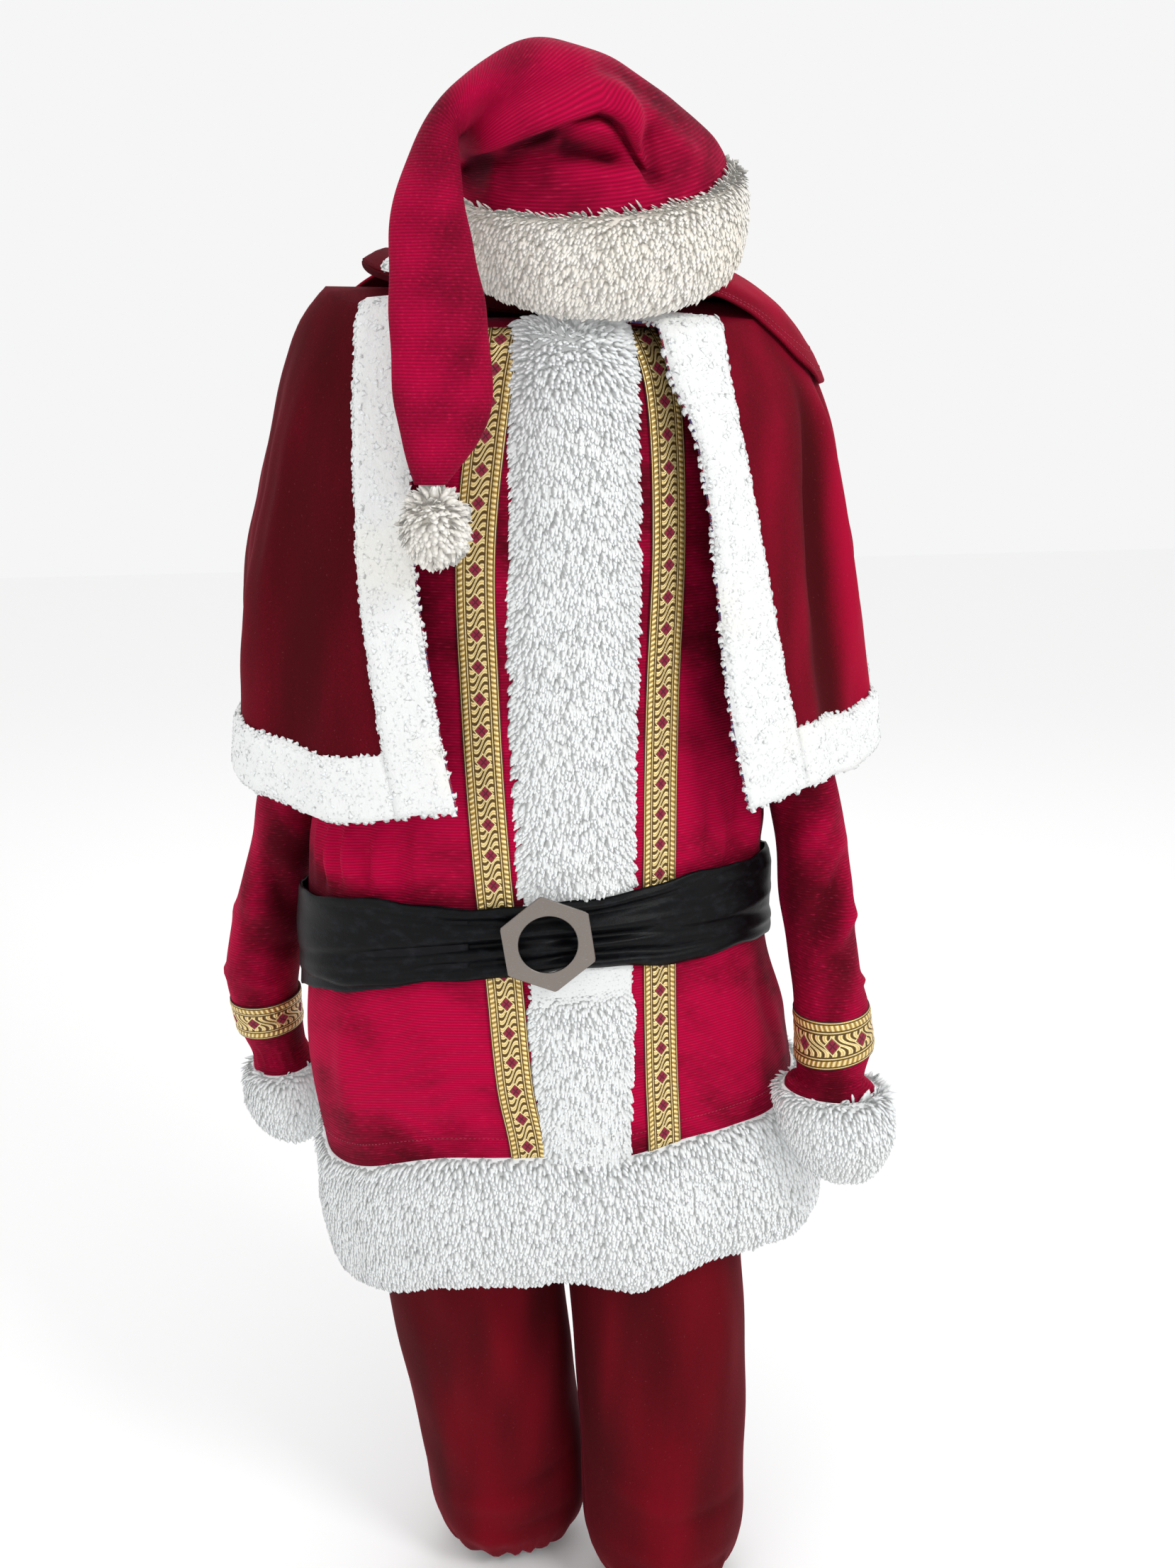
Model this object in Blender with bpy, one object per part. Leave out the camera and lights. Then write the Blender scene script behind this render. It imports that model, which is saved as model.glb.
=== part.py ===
"""Santa suit in its worn, filled-out form with no wearer: a stocking hat, a shoulder cape, a long belted jacket
and a pair of trousers.

Metres, +Z up, the suit's front towards -Y and its wearer's left towards +X. The origin is the middle of the
jacket's neck opening. Every piece of cloth is a thin wall between two offsets of a form, and every trim is made
from the points of the panel that it is sewn to, moved out.
"""
import math
from typing import Callable, NamedTuple

import bmesh
import bpy
from mathutils import Vector

# ---------------------------------------------------------------- driving dimensions
CLOTH = 0.0022            # wall of the jacket, the cape and the trousers
HAT_CLOTH = 0.0026        # wall of the ribbed hat
BRAID = 0.0014            # gold braid
LEATHER = 0.0022          # soft belt leather
SEAM_GAP = 0.0005         # clear space between two pieces at a seam
LAYER_GAP = 0.0005        # clear space between two layers
STEP = 0.0005             # step for the slopes of a form

PANEL_FUR = 0.014         # reach of the long plush down the front
PANEL_EDGE = 0.6          # share of that reach at its edges
PANEL_FUR_PRESSED = 0.0030  # the same under the belt
HEM_FUR = 0.015           # reach of the long plush round the hem
CUFF_FUR = 0.014          # reach of the plush round the cuffs
BORDER_FUR = 0.0065       # reach of the short curls round the cape
BRIM_FUR = 0.020          # reach of the plush round the hat
POMPOM_RADIUS = 0.029
POMPOM_CENTRE = Vector((-0.126, -0.192, -0.163))

ROUND = 2.15              # power of the body's rounded sections, 2 is an ellipse
BELT_MIDDLE = -0.549      # height of the belt's middle at the sides
BELT_TILT = 0.008         # rise of the belt towards the wearer's left
BELT_RISE = 0.018         # rise of its middle at the buckle
BELT_FRONT = -0.14        # angle of its buckle
BELT_GATHER = 0.24        # share of its width that gathers into the buckle
BELT_GATHER_WIDTH = 0.75  # how far round it gathers
BELT_COVER = 0.053        # half of the band that the belt presses flat
BELT_HALF = 0.041         # half of the belt's width
BELT_TAIL_COLUMNS = (-9, -2)   # columns of the strap that its folded-back end lies under
BELT_TAIL_DROP = 0.017    # how far the end's tip hangs below the strap
BUCKLE_CENTRE = Vector((-0.032, -0.1625, -0.532))
BUCKLE_RADIUS = 0.0455    # to the points of the hexagon
BUCKLE_HOLE = 0.0265      # radius of its round hole
BUCKLE_THICK = 0.0028
BUCKLE_TURN = math.radians(-8.5)   # the direction of its first point
BUCKLE_YAW = math.radians(-6.0)    # it lies on the curve of the belly
BRIM_ROUND = (0.75, 1.0, 0.8)      # share of a hem's or brim's reach at its foot, middle and top
CUFF_ROUND = (0.7, 1.0, 0.7)       # the same for a cuff


class BodyRow(NamedTuple):
    """A level section of the jacket's body."""
    z: float
    middle: float         # x of its centre
    half: float           # half of its width
    front: float          # depth in front of the origin
    back: float           # depth behind it


BODY = (
    BodyRow(0.000, 0.004, 0.078, 0.080, 0.080),
    BodyRow(-0.014, 0.004, 0.120, 0.093, 0.098),
    BodyRow(-0.032, 0.003, 0.152, 0.103, 0.108),
    BodyRow(-0.060, 0.002, 0.172, 0.112, 0.115),
    BodyRow(-0.110, 0.002, 0.176, 0.120, 0.120),
    BodyRow(-0.165, 0.002, 0.177, 0.125, 0.122),
    BodyRow(-0.220, 0.001, 0.180, 0.128, 0.122),
    BodyRow(-0.310, 0.000, 0.189, 0.132, 0.121),
    BodyRow(-0.400, -0.005, 0.206, 0.136, 0.120),
    BodyRow(-0.455, -0.010, 0.217, 0.140, 0.120),
    BodyRow(-0.500, -0.012, 0.220, 0.141, 0.120),
    BodyRow(-0.600, -0.010, 0.228, 0.147, 0.124),
    BodyRow(-0.670, -0.002, 0.240, 0.154, 0.128),
    BodyRow(-0.744, 0.012, 0.240, 0.160, 0.130),
    BodyRow(-0.805, 0.023, 0.246, 0.164, 0.132),
    BodyRow(-0.866, 0.032, 0.250, 0.168, 0.134),
)
HEM_ROW = 13              # the row of BODY where the red cloth ends
SIDE_SEAM = 1.62          # angle of the side seam from the middle of the front
ARMHOLE_ROWS = (3, 6)     # rows of BODY that the armhole opens between
ARMHOLE_FRONT = 1.20      # angle of its front edge
ARMHOLE_BACK = 2.05       # angle of its back edge


class FrontRow(NamedTuple):
    """Where the fur panel and the two braids run at one height, as x."""
    z: float
    outer_right: float    # outer edge of the braid on the wearer's right
    inner_right: float    # its inner edge, under the fur's edge
    middle: float         # where the two fronts meet
    inner_left: float
    outer_left: float


FRONTS = (
    FrontRow(0.000, -0.064, -0.046, 0.008, 0.062, 0.076),
    FrontRow(-0.060, -0.082, -0.056, 0.004, 0.063, 0.094),
    FrontRow(-0.187, -0.098, -0.061, 0.002, 0.061, 0.098),
    FrontRow(-0.320, -0.098, -0.062, 0.000, 0.058, 0.092),
    FrontRow(-0.455, -0.093, -0.059, -0.001, 0.055, 0.090),
    FrontRow(-0.570, -0.085, -0.054, 0.000, 0.055, 0.092),
    FrontRow(-0.670, -0.078, -0.049, 0.000, 0.051, 0.093),
    FrontRow(-0.744, -0.066, -0.045, -0.004, 0.048, 0.095),
)


class Fold(NamedTuple):
    """A soft ridge (depth over 0) or trough (under 0) that runs down a form."""
    angle: float
    width: float
    depth: float
    start: float          # height where it begins
    full: float           # height where it is deepest
    end: float            # height where it has died out


BODY_FOLDS = (
    Fold(-1.05, 0.20, 0.006, -0.34, -0.47, -0.56),
    Fold(-0.72, 0.16, -0.005, -0.36, -0.47, -0.55),
    Fold(0.86, 0.16, -0.006, -0.36, -0.46, -0.55),
    Fold(1.16, 0.18, 0.006, -0.30, -0.46, -0.56),
    Fold(2.30, 0.22, -0.007, -0.34, -0.47, -0.57),
    Fold(2.80, 0.20, 0.006, -0.36, -0.47, -0.55),
    Fold(-2.55, 0.24, -0.007, -0.34, -0.47, -0.57),
    Fold(-1.15, 0.24, -0.006, -0.60, -0.86, -1.10),
    Fold(-0.62, 0.22, 0.005, -0.66, -0.86, -1.10),
    Fold(-0.22, 0.16, -0.005, -0.72, -0.86, -1.10),
    Fold(0.06, 0.17, 0.010, -0.70, -0.86, -1.10),
    Fold(0.42, 0.18, -0.006, -0.70, -0.86, -1.10),
    Fold(0.80, 0.20, 0.007, -0.62, -0.86, -1.10),
    Fold(1.28, 0.22, -0.006, -0.60, -0.86, -1.10),
    Fold(2.20, 0.26, 0.008, -0.60, -0.86, -1.10),
    Fold(2.75, 0.24, -0.007, -0.62, -0.86, -1.10),
    Fold(-2.85, 0.24, 0.008, -0.60, -0.86, -1.10),
    Fold(-2.30, 0.24, -0.007, -0.62, -0.86, -1.10),
)


class CapeRow(NamedTuple):
    """A section of the cape, from its neck down, and where its fur borders run as x."""
    z: float
    middle: float
    half: float
    front: float
    back: float
    outer_right: float    # outer edge of the border on the wearer's right
    edge_right: float     # the open front edge there
    edge_left: float      # the open front edge on the wearer's left
    outer_left: float


CAPE = (
    CapeRow(0.030, 0.003, 0.096, 0.086, 0.088, -0.088, -0.072, 0.052, 0.080),
    CapeRow(0.058, 0.003, 0.136, 0.096, 0.104, -0.127, -0.106, 0.062, 0.106),
    CapeRow(0.048, 0.004, 0.168, 0.104, 0.120, -0.151, -0.104, 0.071, 0.130),
    CapeRow(0.018, 0.006, 0.207, 0.113, 0.134, -0.170, -0.115, 0.078, 0.138),
    CapeRow(-0.022, 0.009, 0.235, 0.127, 0.146, -0.176, -0.123, 0.086, 0.139),
    CapeRow(-0.080, 0.009, 0.254, 0.142, 0.156, -0.180, -0.134, 0.100, 0.143),
    CapeRow(-0.150, 0.006, 0.267, 0.152, 0.164, -0.182, -0.139, 0.113, 0.155),
    CapeRow(-0.220, 0.005, 0.281, 0.160, 0.172, -0.182, -0.137, 0.120, 0.170),
    CapeRow(-0.290, 0.006, 0.289, 0.167, 0.180, -0.175, -0.129, 0.128, 0.186),
    CapeRow(-0.350, 0.008, 0.295, 0.173, 0.186, -0.168, -0.121, 0.138, 0.199),
    CapeRow(-0.406, 0.010, 0.301, 0.179, 0.190, -0.160, -0.111, 0.150, 0.211),
)
CAPE_DIP = 0.032          # fall of the cape's neckline in front
CAPE_BACK_DIP = 0.020     # the same behind
CAPE_SIDE_DIP = 0.010     # the same over the wearer's left shoulder
COLLAR_ROWS = (1, 4)      # rows of CAPE that the turned-down collar covers
CAPE_FOLDS = (
    Fold(-1.30, 0.22, 0.006, -0.02, -0.36, -0.80),
    Fold(-1.00, 0.18, -0.006, -0.06, -0.36, -0.80),
    Fold(0.92, 0.14, -0.010, -0.04, -0.30, -0.80),
    Fold(1.22, 0.15, 0.012, -0.04, -0.34, -0.80),
    Fold(1.50, 0.14, -0.016, -0.06, -0.34, -0.80),
    Fold(1.76, 0.22, 0.028, -0.04, -0.30, -0.80),
    Fold(2.10, 0.20, -0.010, -0.06, -0.34, -0.80),
    Fold(2.40, 0.22, 0.010, -0.04, -0.34, -0.80),
    Fold(2.85, 0.22, -0.010, -0.06, -0.34, -0.80),
    Fold(-2.98, 0.20, 0.010, -0.04, -0.34, -0.80),
    Fold(-2.50, 0.22, -0.010, -0.06, -0.34, -0.80),
    Fold(-2.02, 0.22, 0.009, -0.04, -0.34, -0.80),
    Fold(-1.62, 0.20, -0.006, -0.06, -0.34, -0.80),
)


class Lift(NamedTuple):
    """How far a hem rises (over 0) or hangs (under 0) about one angle."""
    angle: float
    width: float
    rise: float


CAPE_LIFT = (Lift(0.38, 0.40, -0.014), Lift(1.34, 0.32, 0.020), Lift(1.80, 0.28, 0.050), Lift(-0.80, 0.35, -0.012),
             Lift(-1.55, 0.45, 0.018), Lift(2.60, 0.40, -0.009))
SKIRT_LIFT = (Lift(-1.30, 0.80, -0.042), Lift(-2.40, 0.90, -0.012), Lift(0.10, 0.30, -0.008), Lift(1.75, 0.70, 0.012))


class SleeveRow(NamedTuple):
    """A section of a sleeve: an oval from its outer point to its inner one."""
    outer_x: float
    outer_z: float
    inner_x: float
    inner_z: float
    middle_y: float
    half_y: float


SLEEVE_LEFT = (
    SleeveRow(0.182, -0.052, 0.184, -0.222, 0.004, 0.066),
    SleeveRow(0.212, -0.070, 0.187, -0.230, 0.004, 0.062),
    SleeveRow(0.230, -0.112, 0.189, -0.244, 0.000, 0.058),
    SleeveRow(0.240, -0.185, 0.191, -0.272, -0.012, 0.054),
    SleeveRow(0.252, -0.285, 0.196, -0.325, -0.028, 0.051),
    SleeveRow(0.270, -0.414, 0.206, -0.425, -0.046, 0.049),
    SleeveRow(0.278, -0.480, 0.212, -0.485, -0.064, 0.046),
    SleeveRow(0.280, -0.545, 0.213, -0.545, -0.088, 0.043),
    SleeveRow(0.280, -0.598, 0.212, -0.588, -0.110, 0.041),
    SleeveRow(0.284, -0.626, 0.216, -0.634, -0.124, 0.039),
    SleeveRow(0.286, -0.664, 0.215, -0.680, -0.135, 0.039),
    SleeveRow(0.277, -0.694, 0.213, -0.694, -0.141, 0.034),
    SleeveRow(0.288, -0.708, 0.200, -0.700, -0.146, 0.037),
    SleeveRow(0.292, -0.750, 0.212, -0.745, -0.149, 0.038),
    SleeveRow(0.278, -0.784, 0.236, -0.784, -0.150, 0.029),
)
SLEEVE_RIGHT = (
    SleeveRow(0.182, -0.052, 0.184, -0.222, 0.004, 0.066),
    SleeveRow(0.208, -0.070, 0.187, -0.230, 0.010, 0.062),
    SleeveRow(0.224, -0.112, 0.189, -0.244, 0.018, 0.058),
    SleeveRow(0.234, -0.185, 0.190, -0.272, 0.030, 0.054),
    SleeveRow(0.246, -0.285, 0.194, -0.325, 0.048, 0.047),
    SleeveRow(0.270, -0.414, 0.209, -0.425, 0.068, 0.042),
    SleeveRow(0.288, -0.500, 0.222, -0.500, 0.084, 0.041),
    SleeveRow(0.307, -0.570, 0.234, -0.565, 0.089, 0.041),
    SleeveRow(0.317, -0.622, 0.242, -0.615, 0.089, 0.041),
    SleeveRow(0.315, -0.662, 0.246, -0.655, 0.092, 0.041),
    SleeveRow(0.309, -0.698, 0.245, -0.690, 0.095, 0.040),
    SleeveRow(0.298, -0.722, 0.244, -0.716, 0.096, 0.034),
    SleeveRow(0.296, -0.742, 0.236, -0.737, 0.098, 0.036),
    SleeveRow(0.292, -0.782, 0.230, -0.782, 0.098, 0.036),
    SleeveRow(0.274, -0.812, 0.238, -0.812, 0.098, 0.028),
)
BRAID_ROWS = (9, 10)      # rows of a sleeve that its braid covers
CUFF_ROWS = (12, 14)      # rows of a sleeve that its fur covers


class HatRow(NamedTuple):
    """A section of the hat: an oval from its inner point to its outer one, fanned about the fold."""
    inner_x: float
    inner_z: float
    outer_x: float
    outer_z: float
    middle_y: float
    front: float
    back: float
    lean: float           # fall towards the front for each metre


HAT = (
    HatRow(-0.084, 0.059, 0.152, 0.065, -0.014, 0.106, 0.104, 0.56),
    HatRow(-0.086, 0.082, 0.158, 0.098, -0.014, 0.108, 0.106, 0.50),
    HatRow(-0.086, 0.109, 0.158, 0.137, -0.014, 0.106, 0.104, 0.42),
    HatRow(-0.084, 0.124, 0.147, 0.156, -0.016, 0.098, 0.100, 0.36),
    HatRow(-0.082, 0.134, 0.128, 0.171, -0.020, 0.086, 0.096, 0.28),
    HatRow(-0.082, 0.134, 0.106, 0.182, -0.026, 0.104, 0.088, 0.16),
    HatRow(-0.082, 0.136, 0.076, 0.198, -0.030, 0.100, 0.082, 0.08),
    HatRow(-0.083, 0.138, 0.030, 0.214, -0.036, 0.090, 0.074, 0.00),
    HatRow(-0.084, 0.139, -0.018, 0.220, -0.044, 0.078, 0.064, 0.00),
    HatRow(-0.086, 0.139, -0.062, 0.200, -0.058, 0.062, 0.050, 0.00),
    HatRow(-0.088, 0.136, -0.098, 0.171, -0.078, 0.044, 0.036, 0.00),
    HatRow(-0.089, 0.124, -0.125, 0.128, -0.098, 0.028, 0.024, 0.00),
    HatRow(-0.087, 0.070, -0.147, 0.070, -0.128, 0.021, 0.018, 0.00),
    HatRow(-0.078, 0.002, -0.152, 0.002, -0.156, 0.019, 0.017, 0.00),
    HatRow(-0.076, -0.060, -0.154, -0.060, -0.176, 0.018, 0.016, 0.00),
    HatRow(-0.088, -0.098, -0.147, -0.098, -0.188, 0.017, 0.015, 0.00),
    HatRow(-0.112, -0.128, -0.136, -0.128, -0.192, 0.010, 0.009, 0.00),
)
HAT_LEVEL = 0.030         # depth over which the hat's lean fades out at its sides
BRIM_ROWS = (0, 2)        # rows of HAT that the fur brim covers


class LegRow(NamedTuple):
    """A section of the trousers: the hips above, one leg below the fork."""
    z: float
    hip_half: float       # half of the hips' width, where the two legs are one
    hip_deep: float
    right_x: float        # middle of the leg on the wearer's right
    right_y: float
    left_x: float
    left_y: float
    half: float
    deep: float
    split: float          # 0 in the hips, 1 in the legs


LEGS = (
    LegRow(-0.440, 0.170, 0.095, -0.085, 0.000, 0.085, 0.000, 0.084, 0.095, 0.0),
    LegRow(-0.520, 0.180, 0.100, -0.090, 0.000, 0.090, 0.000, 0.090, 0.100, 0.0),
    LegRow(-0.620, 0.188, 0.104, -0.094, 0.000, 0.094, 0.000, 0.094, 0.104, 0.0),
    LegRow(-0.700, 0.190, 0.104, -0.095, 0.000, 0.096, 0.000, 0.094, 0.100, 0.35),
    LegRow(-0.760, 0.190, 0.100, -0.095, 0.004, 0.098, -0.004, 0.094, 0.094, 0.85),
    LegRow(-0.810, 0.190, 0.098, -0.094, 0.008, 0.099, -0.008, 0.0925, 0.088, 1.0),
    LegRow(-0.900, 0.190, 0.098, -0.087, 0.016, 0.103, -0.018, 0.0925, 0.082, 1.0),
    LegRow(-1.000, 0.190, 0.098, -0.076, 0.022, 0.108, -0.030, 0.0920, 0.080, 1.0),
    LegRow(-1.110, 0.190, 0.098, -0.060, 0.028, 0.110, -0.042, 0.0890, 0.080, 1.0),
    LegRow(-1.190, 0.190, 0.098, -0.050, 0.031, 0.111, -0.048, 0.0870, 0.080, 1.0),
    LegRow(-1.250, 0.190, 0.098, -0.044, 0.033, 0.112, -0.052, 0.0850, 0.079, 1.0),
    LegRow(-1.286, 0.190, 0.098, -0.042, 0.034, 0.113, -0.054, 0.0700, 0.066, 1.0),
    LegRow(-1.299, 0.190, 0.098, -0.042, 0.034, 0.113, -0.054, 0.0540, 0.052, 1.0),
)
WAISTBAND_ROWS = (0, 1)

COLOURS = {
    "crimson_cord": (0.36, 0.006, 0.045, 0.85, 0.0),
    "hat_rib": (0.38, 0.006, 0.050, 0.85, 0.0),
    "velvet_cape": (0.22, 0.008, 0.016, 0.80, 0.0),
    "velvet_trouser": (0.20, 0.008, 0.014, 0.80, 0.0),
    "white_plush": (0.83, 0.85, 0.85, 0.95, 0.0),
    "cream_plush": (0.76, 0.70, 0.60, 0.95, 0.0),
    "sherpa": (0.80, 0.80, 0.78, 0.95, 0.0),
    "gold_braid": (0.56, 0.36, 0.09, 0.45, 0.6),
    "black_leather": (0.012, 0.013, 0.016, 0.42, 0.0),
    "nickel": (0.34, 0.30, 0.27, 0.30, 1.0),
}


# ---------------------------------------------------------------- numbers along a table
def smooth(value: float, low: float, high: float) -> float:
    """Ease from 0 at low to 1 at high."""
    share = min(max((value - low) / (high - low), 0.0), 1.0)
    return share * share * (3.0 - 2.0 * share)


def hill(value: float, centre: float, width: float) -> float:
    """A rounded hill, 1 at its centre and 0 past its width."""
    share = min(abs(value - centre) / width, 1.0)
    return (1.0 - share * share) ** 2


def turn_between(a: float, b: float) -> float:
    """The turn from one angle to another, taken the short way round."""
    return (a - b + math.pi) % (2.0 * math.pi) - math.pi


def along(table: tuple, place: float) -> list[float]:
    """The columns of a table at a fractional row, joined by straight lines."""
    place = min(max(place, 0.0), len(table) - 1.0)
    row = min(int(place), len(table) - 2)
    share = place - row
    return [a + (b - a) * share for a, b in zip(table[row], table[row + 1])]


def place_of(table: tuple, z: float) -> float:
    """The fractional row of a table at a height; heights fall down the table."""
    for row in range(len(table) - 1):
        if z >= table[row + 1].z:
            return row + (table[row].z - z) / (table[row].z - table[row + 1].z)
    return len(table) - 1.0


def folds_at(folds: tuple, angle: float, z: float) -> float:
    """The sum of the folds of a form at one angle and height."""
    total = 0.0
    for fold in folds:
        side = hill(turn_between(angle, fold.angle), 0.0, fold.width)
        if side > 0.0:
            rise = smooth(-z, -fold.start, -fold.full) * (1.0 - smooth(-z, -fold.full, -fold.end))
            total += fold.depth * side * rise
    return total


def lift_at(lifts: tuple, angle: float) -> float:
    """The sum of a hem's lifts at one angle."""
    return sum(each.rise * hill(turn_between(angle, each.angle), 0.0, each.width) for each in lifts)


def oval(angle: float, half: float, front: float, back: float, power: float = ROUND) -> tuple[float, float]:
    """A point of a rounded section, its angle taken from the front towards +X."""
    side, ahead = math.sin(angle), math.cos(angle)
    size = (abs(side) ** power + abs(ahead) ** power) ** (-1.0 / power)
    deep = front if ahead > 0.0 else back
    return half * side * size, -deep * ahead * size


# ---------------------------------------------------------------- forms: angle and row to a point
def body_form(angle: float, row: float) -> Vector:
    """The jacket's body."""
    z, middle, half, front, back = along(BODY, row)
    x, y = oval(angle, half, front, back)
    swell = 1.0 + folds_at(BODY_FOLDS, angle, z) / math.hypot(x, y)
    return Vector((middle + x * swell, y * swell, z + lift_at(SKIRT_LIFT, angle) * smooth(-z, 0.62, 0.76)))


def cape_form(angle: float, row: float) -> Vector:
    """The cape, whose hem rises and falls round the shoulders."""
    z, middle, half, front, back, *_ = along(CAPE, row)
    x, y = oval(angle, half, front, back)
    swell = 1.0 + folds_at(CAPE_FOLDS, angle, z) / math.hypot(x, y)
    lift = lift_at(CAPE_LIFT, angle) * smooth(-z, 0.05, -CAPE[-1].z)
    dip = CAPE_DIP * max(math.cos(angle), 0.0) + CAPE_BACK_DIP * max(-math.cos(angle), 0.0)
    dip = (dip + CAPE_SIDE_DIP * max(math.sin(angle), 0.0)) * smooth(z, -0.12, 0.0)
    return Vector((middle + x * swell, y * swell, z + lift - dip))


def sleeve_form(rows: tuple, side: float) -> Callable[[float, float], Vector]:
    """A sleeve on the wearer's left (side 1) or right (side -1)."""
    def form(angle: float, row: float) -> Vector:
        outer_x, outer_z, inner_x, inner_z, middle_y, half_y = along(rows, row)
        mid_x, mid_z = (outer_x + inner_x) / 2.0, (outer_z + inner_z) / 2.0
        reach = math.cos(angle)
        x = mid_x + (outer_x - inner_x) / 2.0 * reach
        z = mid_z + (outer_z - inner_z) / 2.0 * reach
        return Vector((side * x, middle_y + side * half_y * math.sin(angle), z))
    return form


def hat_form(angle: float, row: float) -> Vector:
    """The hat: its crown fans over a fold on the wearer's right and hangs down as a tail."""
    inner_x, inner_z, outer_x, outer_z, middle_y, front, back, lean = along(HAT, row)
    reach, deep = math.cos(angle), math.sin(angle)
    y = (back if deep > 0.0 else front) * deep
    x = (outer_x + inner_x) / 2.0 + (outer_x - inner_x) / 2.0 * reach
    fall = lean * (math.hypot(y, HAT_LEVEL) - y) / 2.0
    z = (outer_z + inner_z) / 2.0 + (outer_z - inner_z) / 2.0 * reach - fall
    return Vector((x, middle_y + y, z))


def leg_form(side: float) -> Callable[[float, float], Vector]:
    """One half of the trousers; the angle runs from the front middle or inner seam round the outside."""
    def form(angle: float, row: float) -> Vector:
        z, hip_half, hip_deep, right_x, right_y, left_x, left_y, half, deep, split = along(LEGS, row)
        mid_x, mid_y = (left_x, left_y) if side > 0.0 else (right_x, right_y)
        hip = Vector((side * hip_half * math.sin(abs(angle) / 2.0), -hip_deep * math.cos(abs(angle) / 2.0), z))
        leg = Vector((mid_x - side * half * math.cos(angle), mid_y - deep * math.sin(abs(angle)) , z))
        return hip.lerp(leg, split)
    return form


# ---------------------------------------------------------------- sheets of points, and walls
class Sheet:
    """A grid of points of a form, its rows running down and its columns towards the wearer's left."""

    def __init__(self, points: list, outward: list, closed: bool = False):
        self.points = points
        self.outward = outward
        self.closed = closed

    def cut(self, rows: tuple[int, int], cols: tuple[int, int] | None = None) -> "Sheet":
        """The part of a sheet between two rows and two columns, both kept."""
        first, last = cols if cols else (0, len(self.points[0]) - 1)
        points = [line[first:last + 1] for line in self.points[rows[0]:rows[1] + 1]]
        outward = [line[first:last + 1] for line in self.outward[rows[0]:rows[1] + 1]]
        return Sheet(points, outward, self.closed and cols is None)


def sheet_of(form: Callable[[float, float], Vector], rows: list[float], angles: Callable[[float], list[float]],
             closed: bool = False) -> Sheet:
    """Read a form at the given rows, at the angles of each row."""
    points, outward = [], []
    for row in rows:
        line = angles(row)
        points.append([form(angle, row) for angle in line])
        outward.append([])
        for angle in line:
            across = form(angle + STEP, row) - form(angle - STEP, row)
            down = form(angle, row + STEP) - form(angle, row - STEP)
            outward[-1].append(down.cross(across).normalized())
    return Sheet(points, outward, closed)


def pulled_back(sheet: Sheet, cells: set) -> dict:
    """The points of a sheet's kept cells, its border drawn in by half a seam gap."""
    columns = len(sheet.points[0])
    touching = {}
    for r, c in cells:
        corners = [(r, c), (r + 1, c), (r + 1, (c + 1) % columns), (r, (c + 1) % columns)]
        centre = sum((sheet.points[i][j] for i, j in corners), Vector()) / 4.0
        for corner in corners:
            touching.setdefault(corner, []).append(centre)
    moved = {}
    for (i, j), centres in touching.items():
        point = sheet.points[i][j]
        if len(centres) < 4:
            towards = sum(centres, Vector()) / len(centres) - point
            towards -= sheet.outward[i][j] * towards.dot(sheet.outward[i][j])
            share = 0.5 if len(centres) == 2 else math.sqrt(0.5)
            point = point + towards.normalized() * SEAM_GAP * share
        moved[(i, j)] = point
    return moved


def add_wall(name: str, sheet: Sheet, inside: float, outside, slot: str, missing: set = frozenset()) -> None:
    """Add the closed body between two offsets of a sheet; outside may be a function of the row and column."""
    columns = len(sheet.points[0])
    across = columns if sheet.closed else columns - 1
    cells = {(r, c) for r in range(len(sheet.points) - 1) for c in range(across)} - set(missing)
    points = pulled_back(sheet, cells)
    mesh = bmesh.new()
    outer, inner = {}, {}
    for key in sorted(points):
        normal = sheet.outward[key[0]][key[1]]
        reach = outside(*key) if callable(outside) else outside
        outer[key] = mesh.verts.new(points[key] + normal * reach)
        inner[key] = mesh.verts.new(points[key] + normal * inside)
    for r, c in sorted(cells):
        right = (c + 1) % columns
        a, b, d, e = (r, c), (r + 1, c), (r + 1, right), (r, right)
        for corner in ((a, b, d), (a, d, e)):
            mesh.faces.new([outer[k] for k in corner])
            mesh.faces.new([inner[k] for k in reversed(corner)])
        left = (c - 1) % columns if sheet.closed else c - 1
        past = (c + 1) % columns if sheet.closed else c + 1
        for beside, (p, q) in (((r - 1, c), (e, a)), ((r + 1, c), (b, d)), ((r, left), (a, b)), ((r, past), (d, e))):
            if beside not in cells:
                close_edge(mesh, outer, inner, p, q)
    add_mesh(name, mesh, slot)


def close_edge(mesh: bmesh.types.BMesh, outer: dict, inner: dict, p: tuple, q: tuple) -> None:
    """Close a wall along one border edge, split the same way on both sides of a seam."""
    if p < q:
        mesh.faces.new((outer[q], outer[p], inner[q]))
        mesh.faces.new((outer[p], inner[p], inner[q]))
    else:
        mesh.faces.new((outer[q], outer[p], inner[p]))
        mesh.faces.new((outer[q], inner[p], inner[q]))


def add_mesh(name: str, mesh: bmesh.types.BMesh, slot: str) -> bpy.types.Object:
    """Put a finished mesh in the suit's collection, with its material."""
    data = bpy.data.meshes.new(name)
    mesh.to_mesh(data)
    mesh.free()
    data.materials.append(material(slot))
    data.shade_smooth()
    data.set_sharp_from_angle(angle=math.radians(50.0))
    thing = bpy.data.objects.new(name, data)
    bpy.data.collections["santa_suit"].objects.link(thing)
    return thing


def material(slot: str) -> bpy.types.Material:
    """The Principled material of a slot, made once."""
    if slot in bpy.data.materials:
        return bpy.data.materials[slot]
    red, green, blue, rough, metal = COLOURS[slot]
    made = bpy.data.materials.new(slot)
    made.use_nodes = True
    shader = made.node_tree.nodes["Principled BSDF"]
    shader.inputs["Base Color"].default_value = (red, green, blue, 1.0)
    shader.inputs["Roughness"].default_value = rough
    shader.inputs["Metallic"].default_value = metal
    return made


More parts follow.
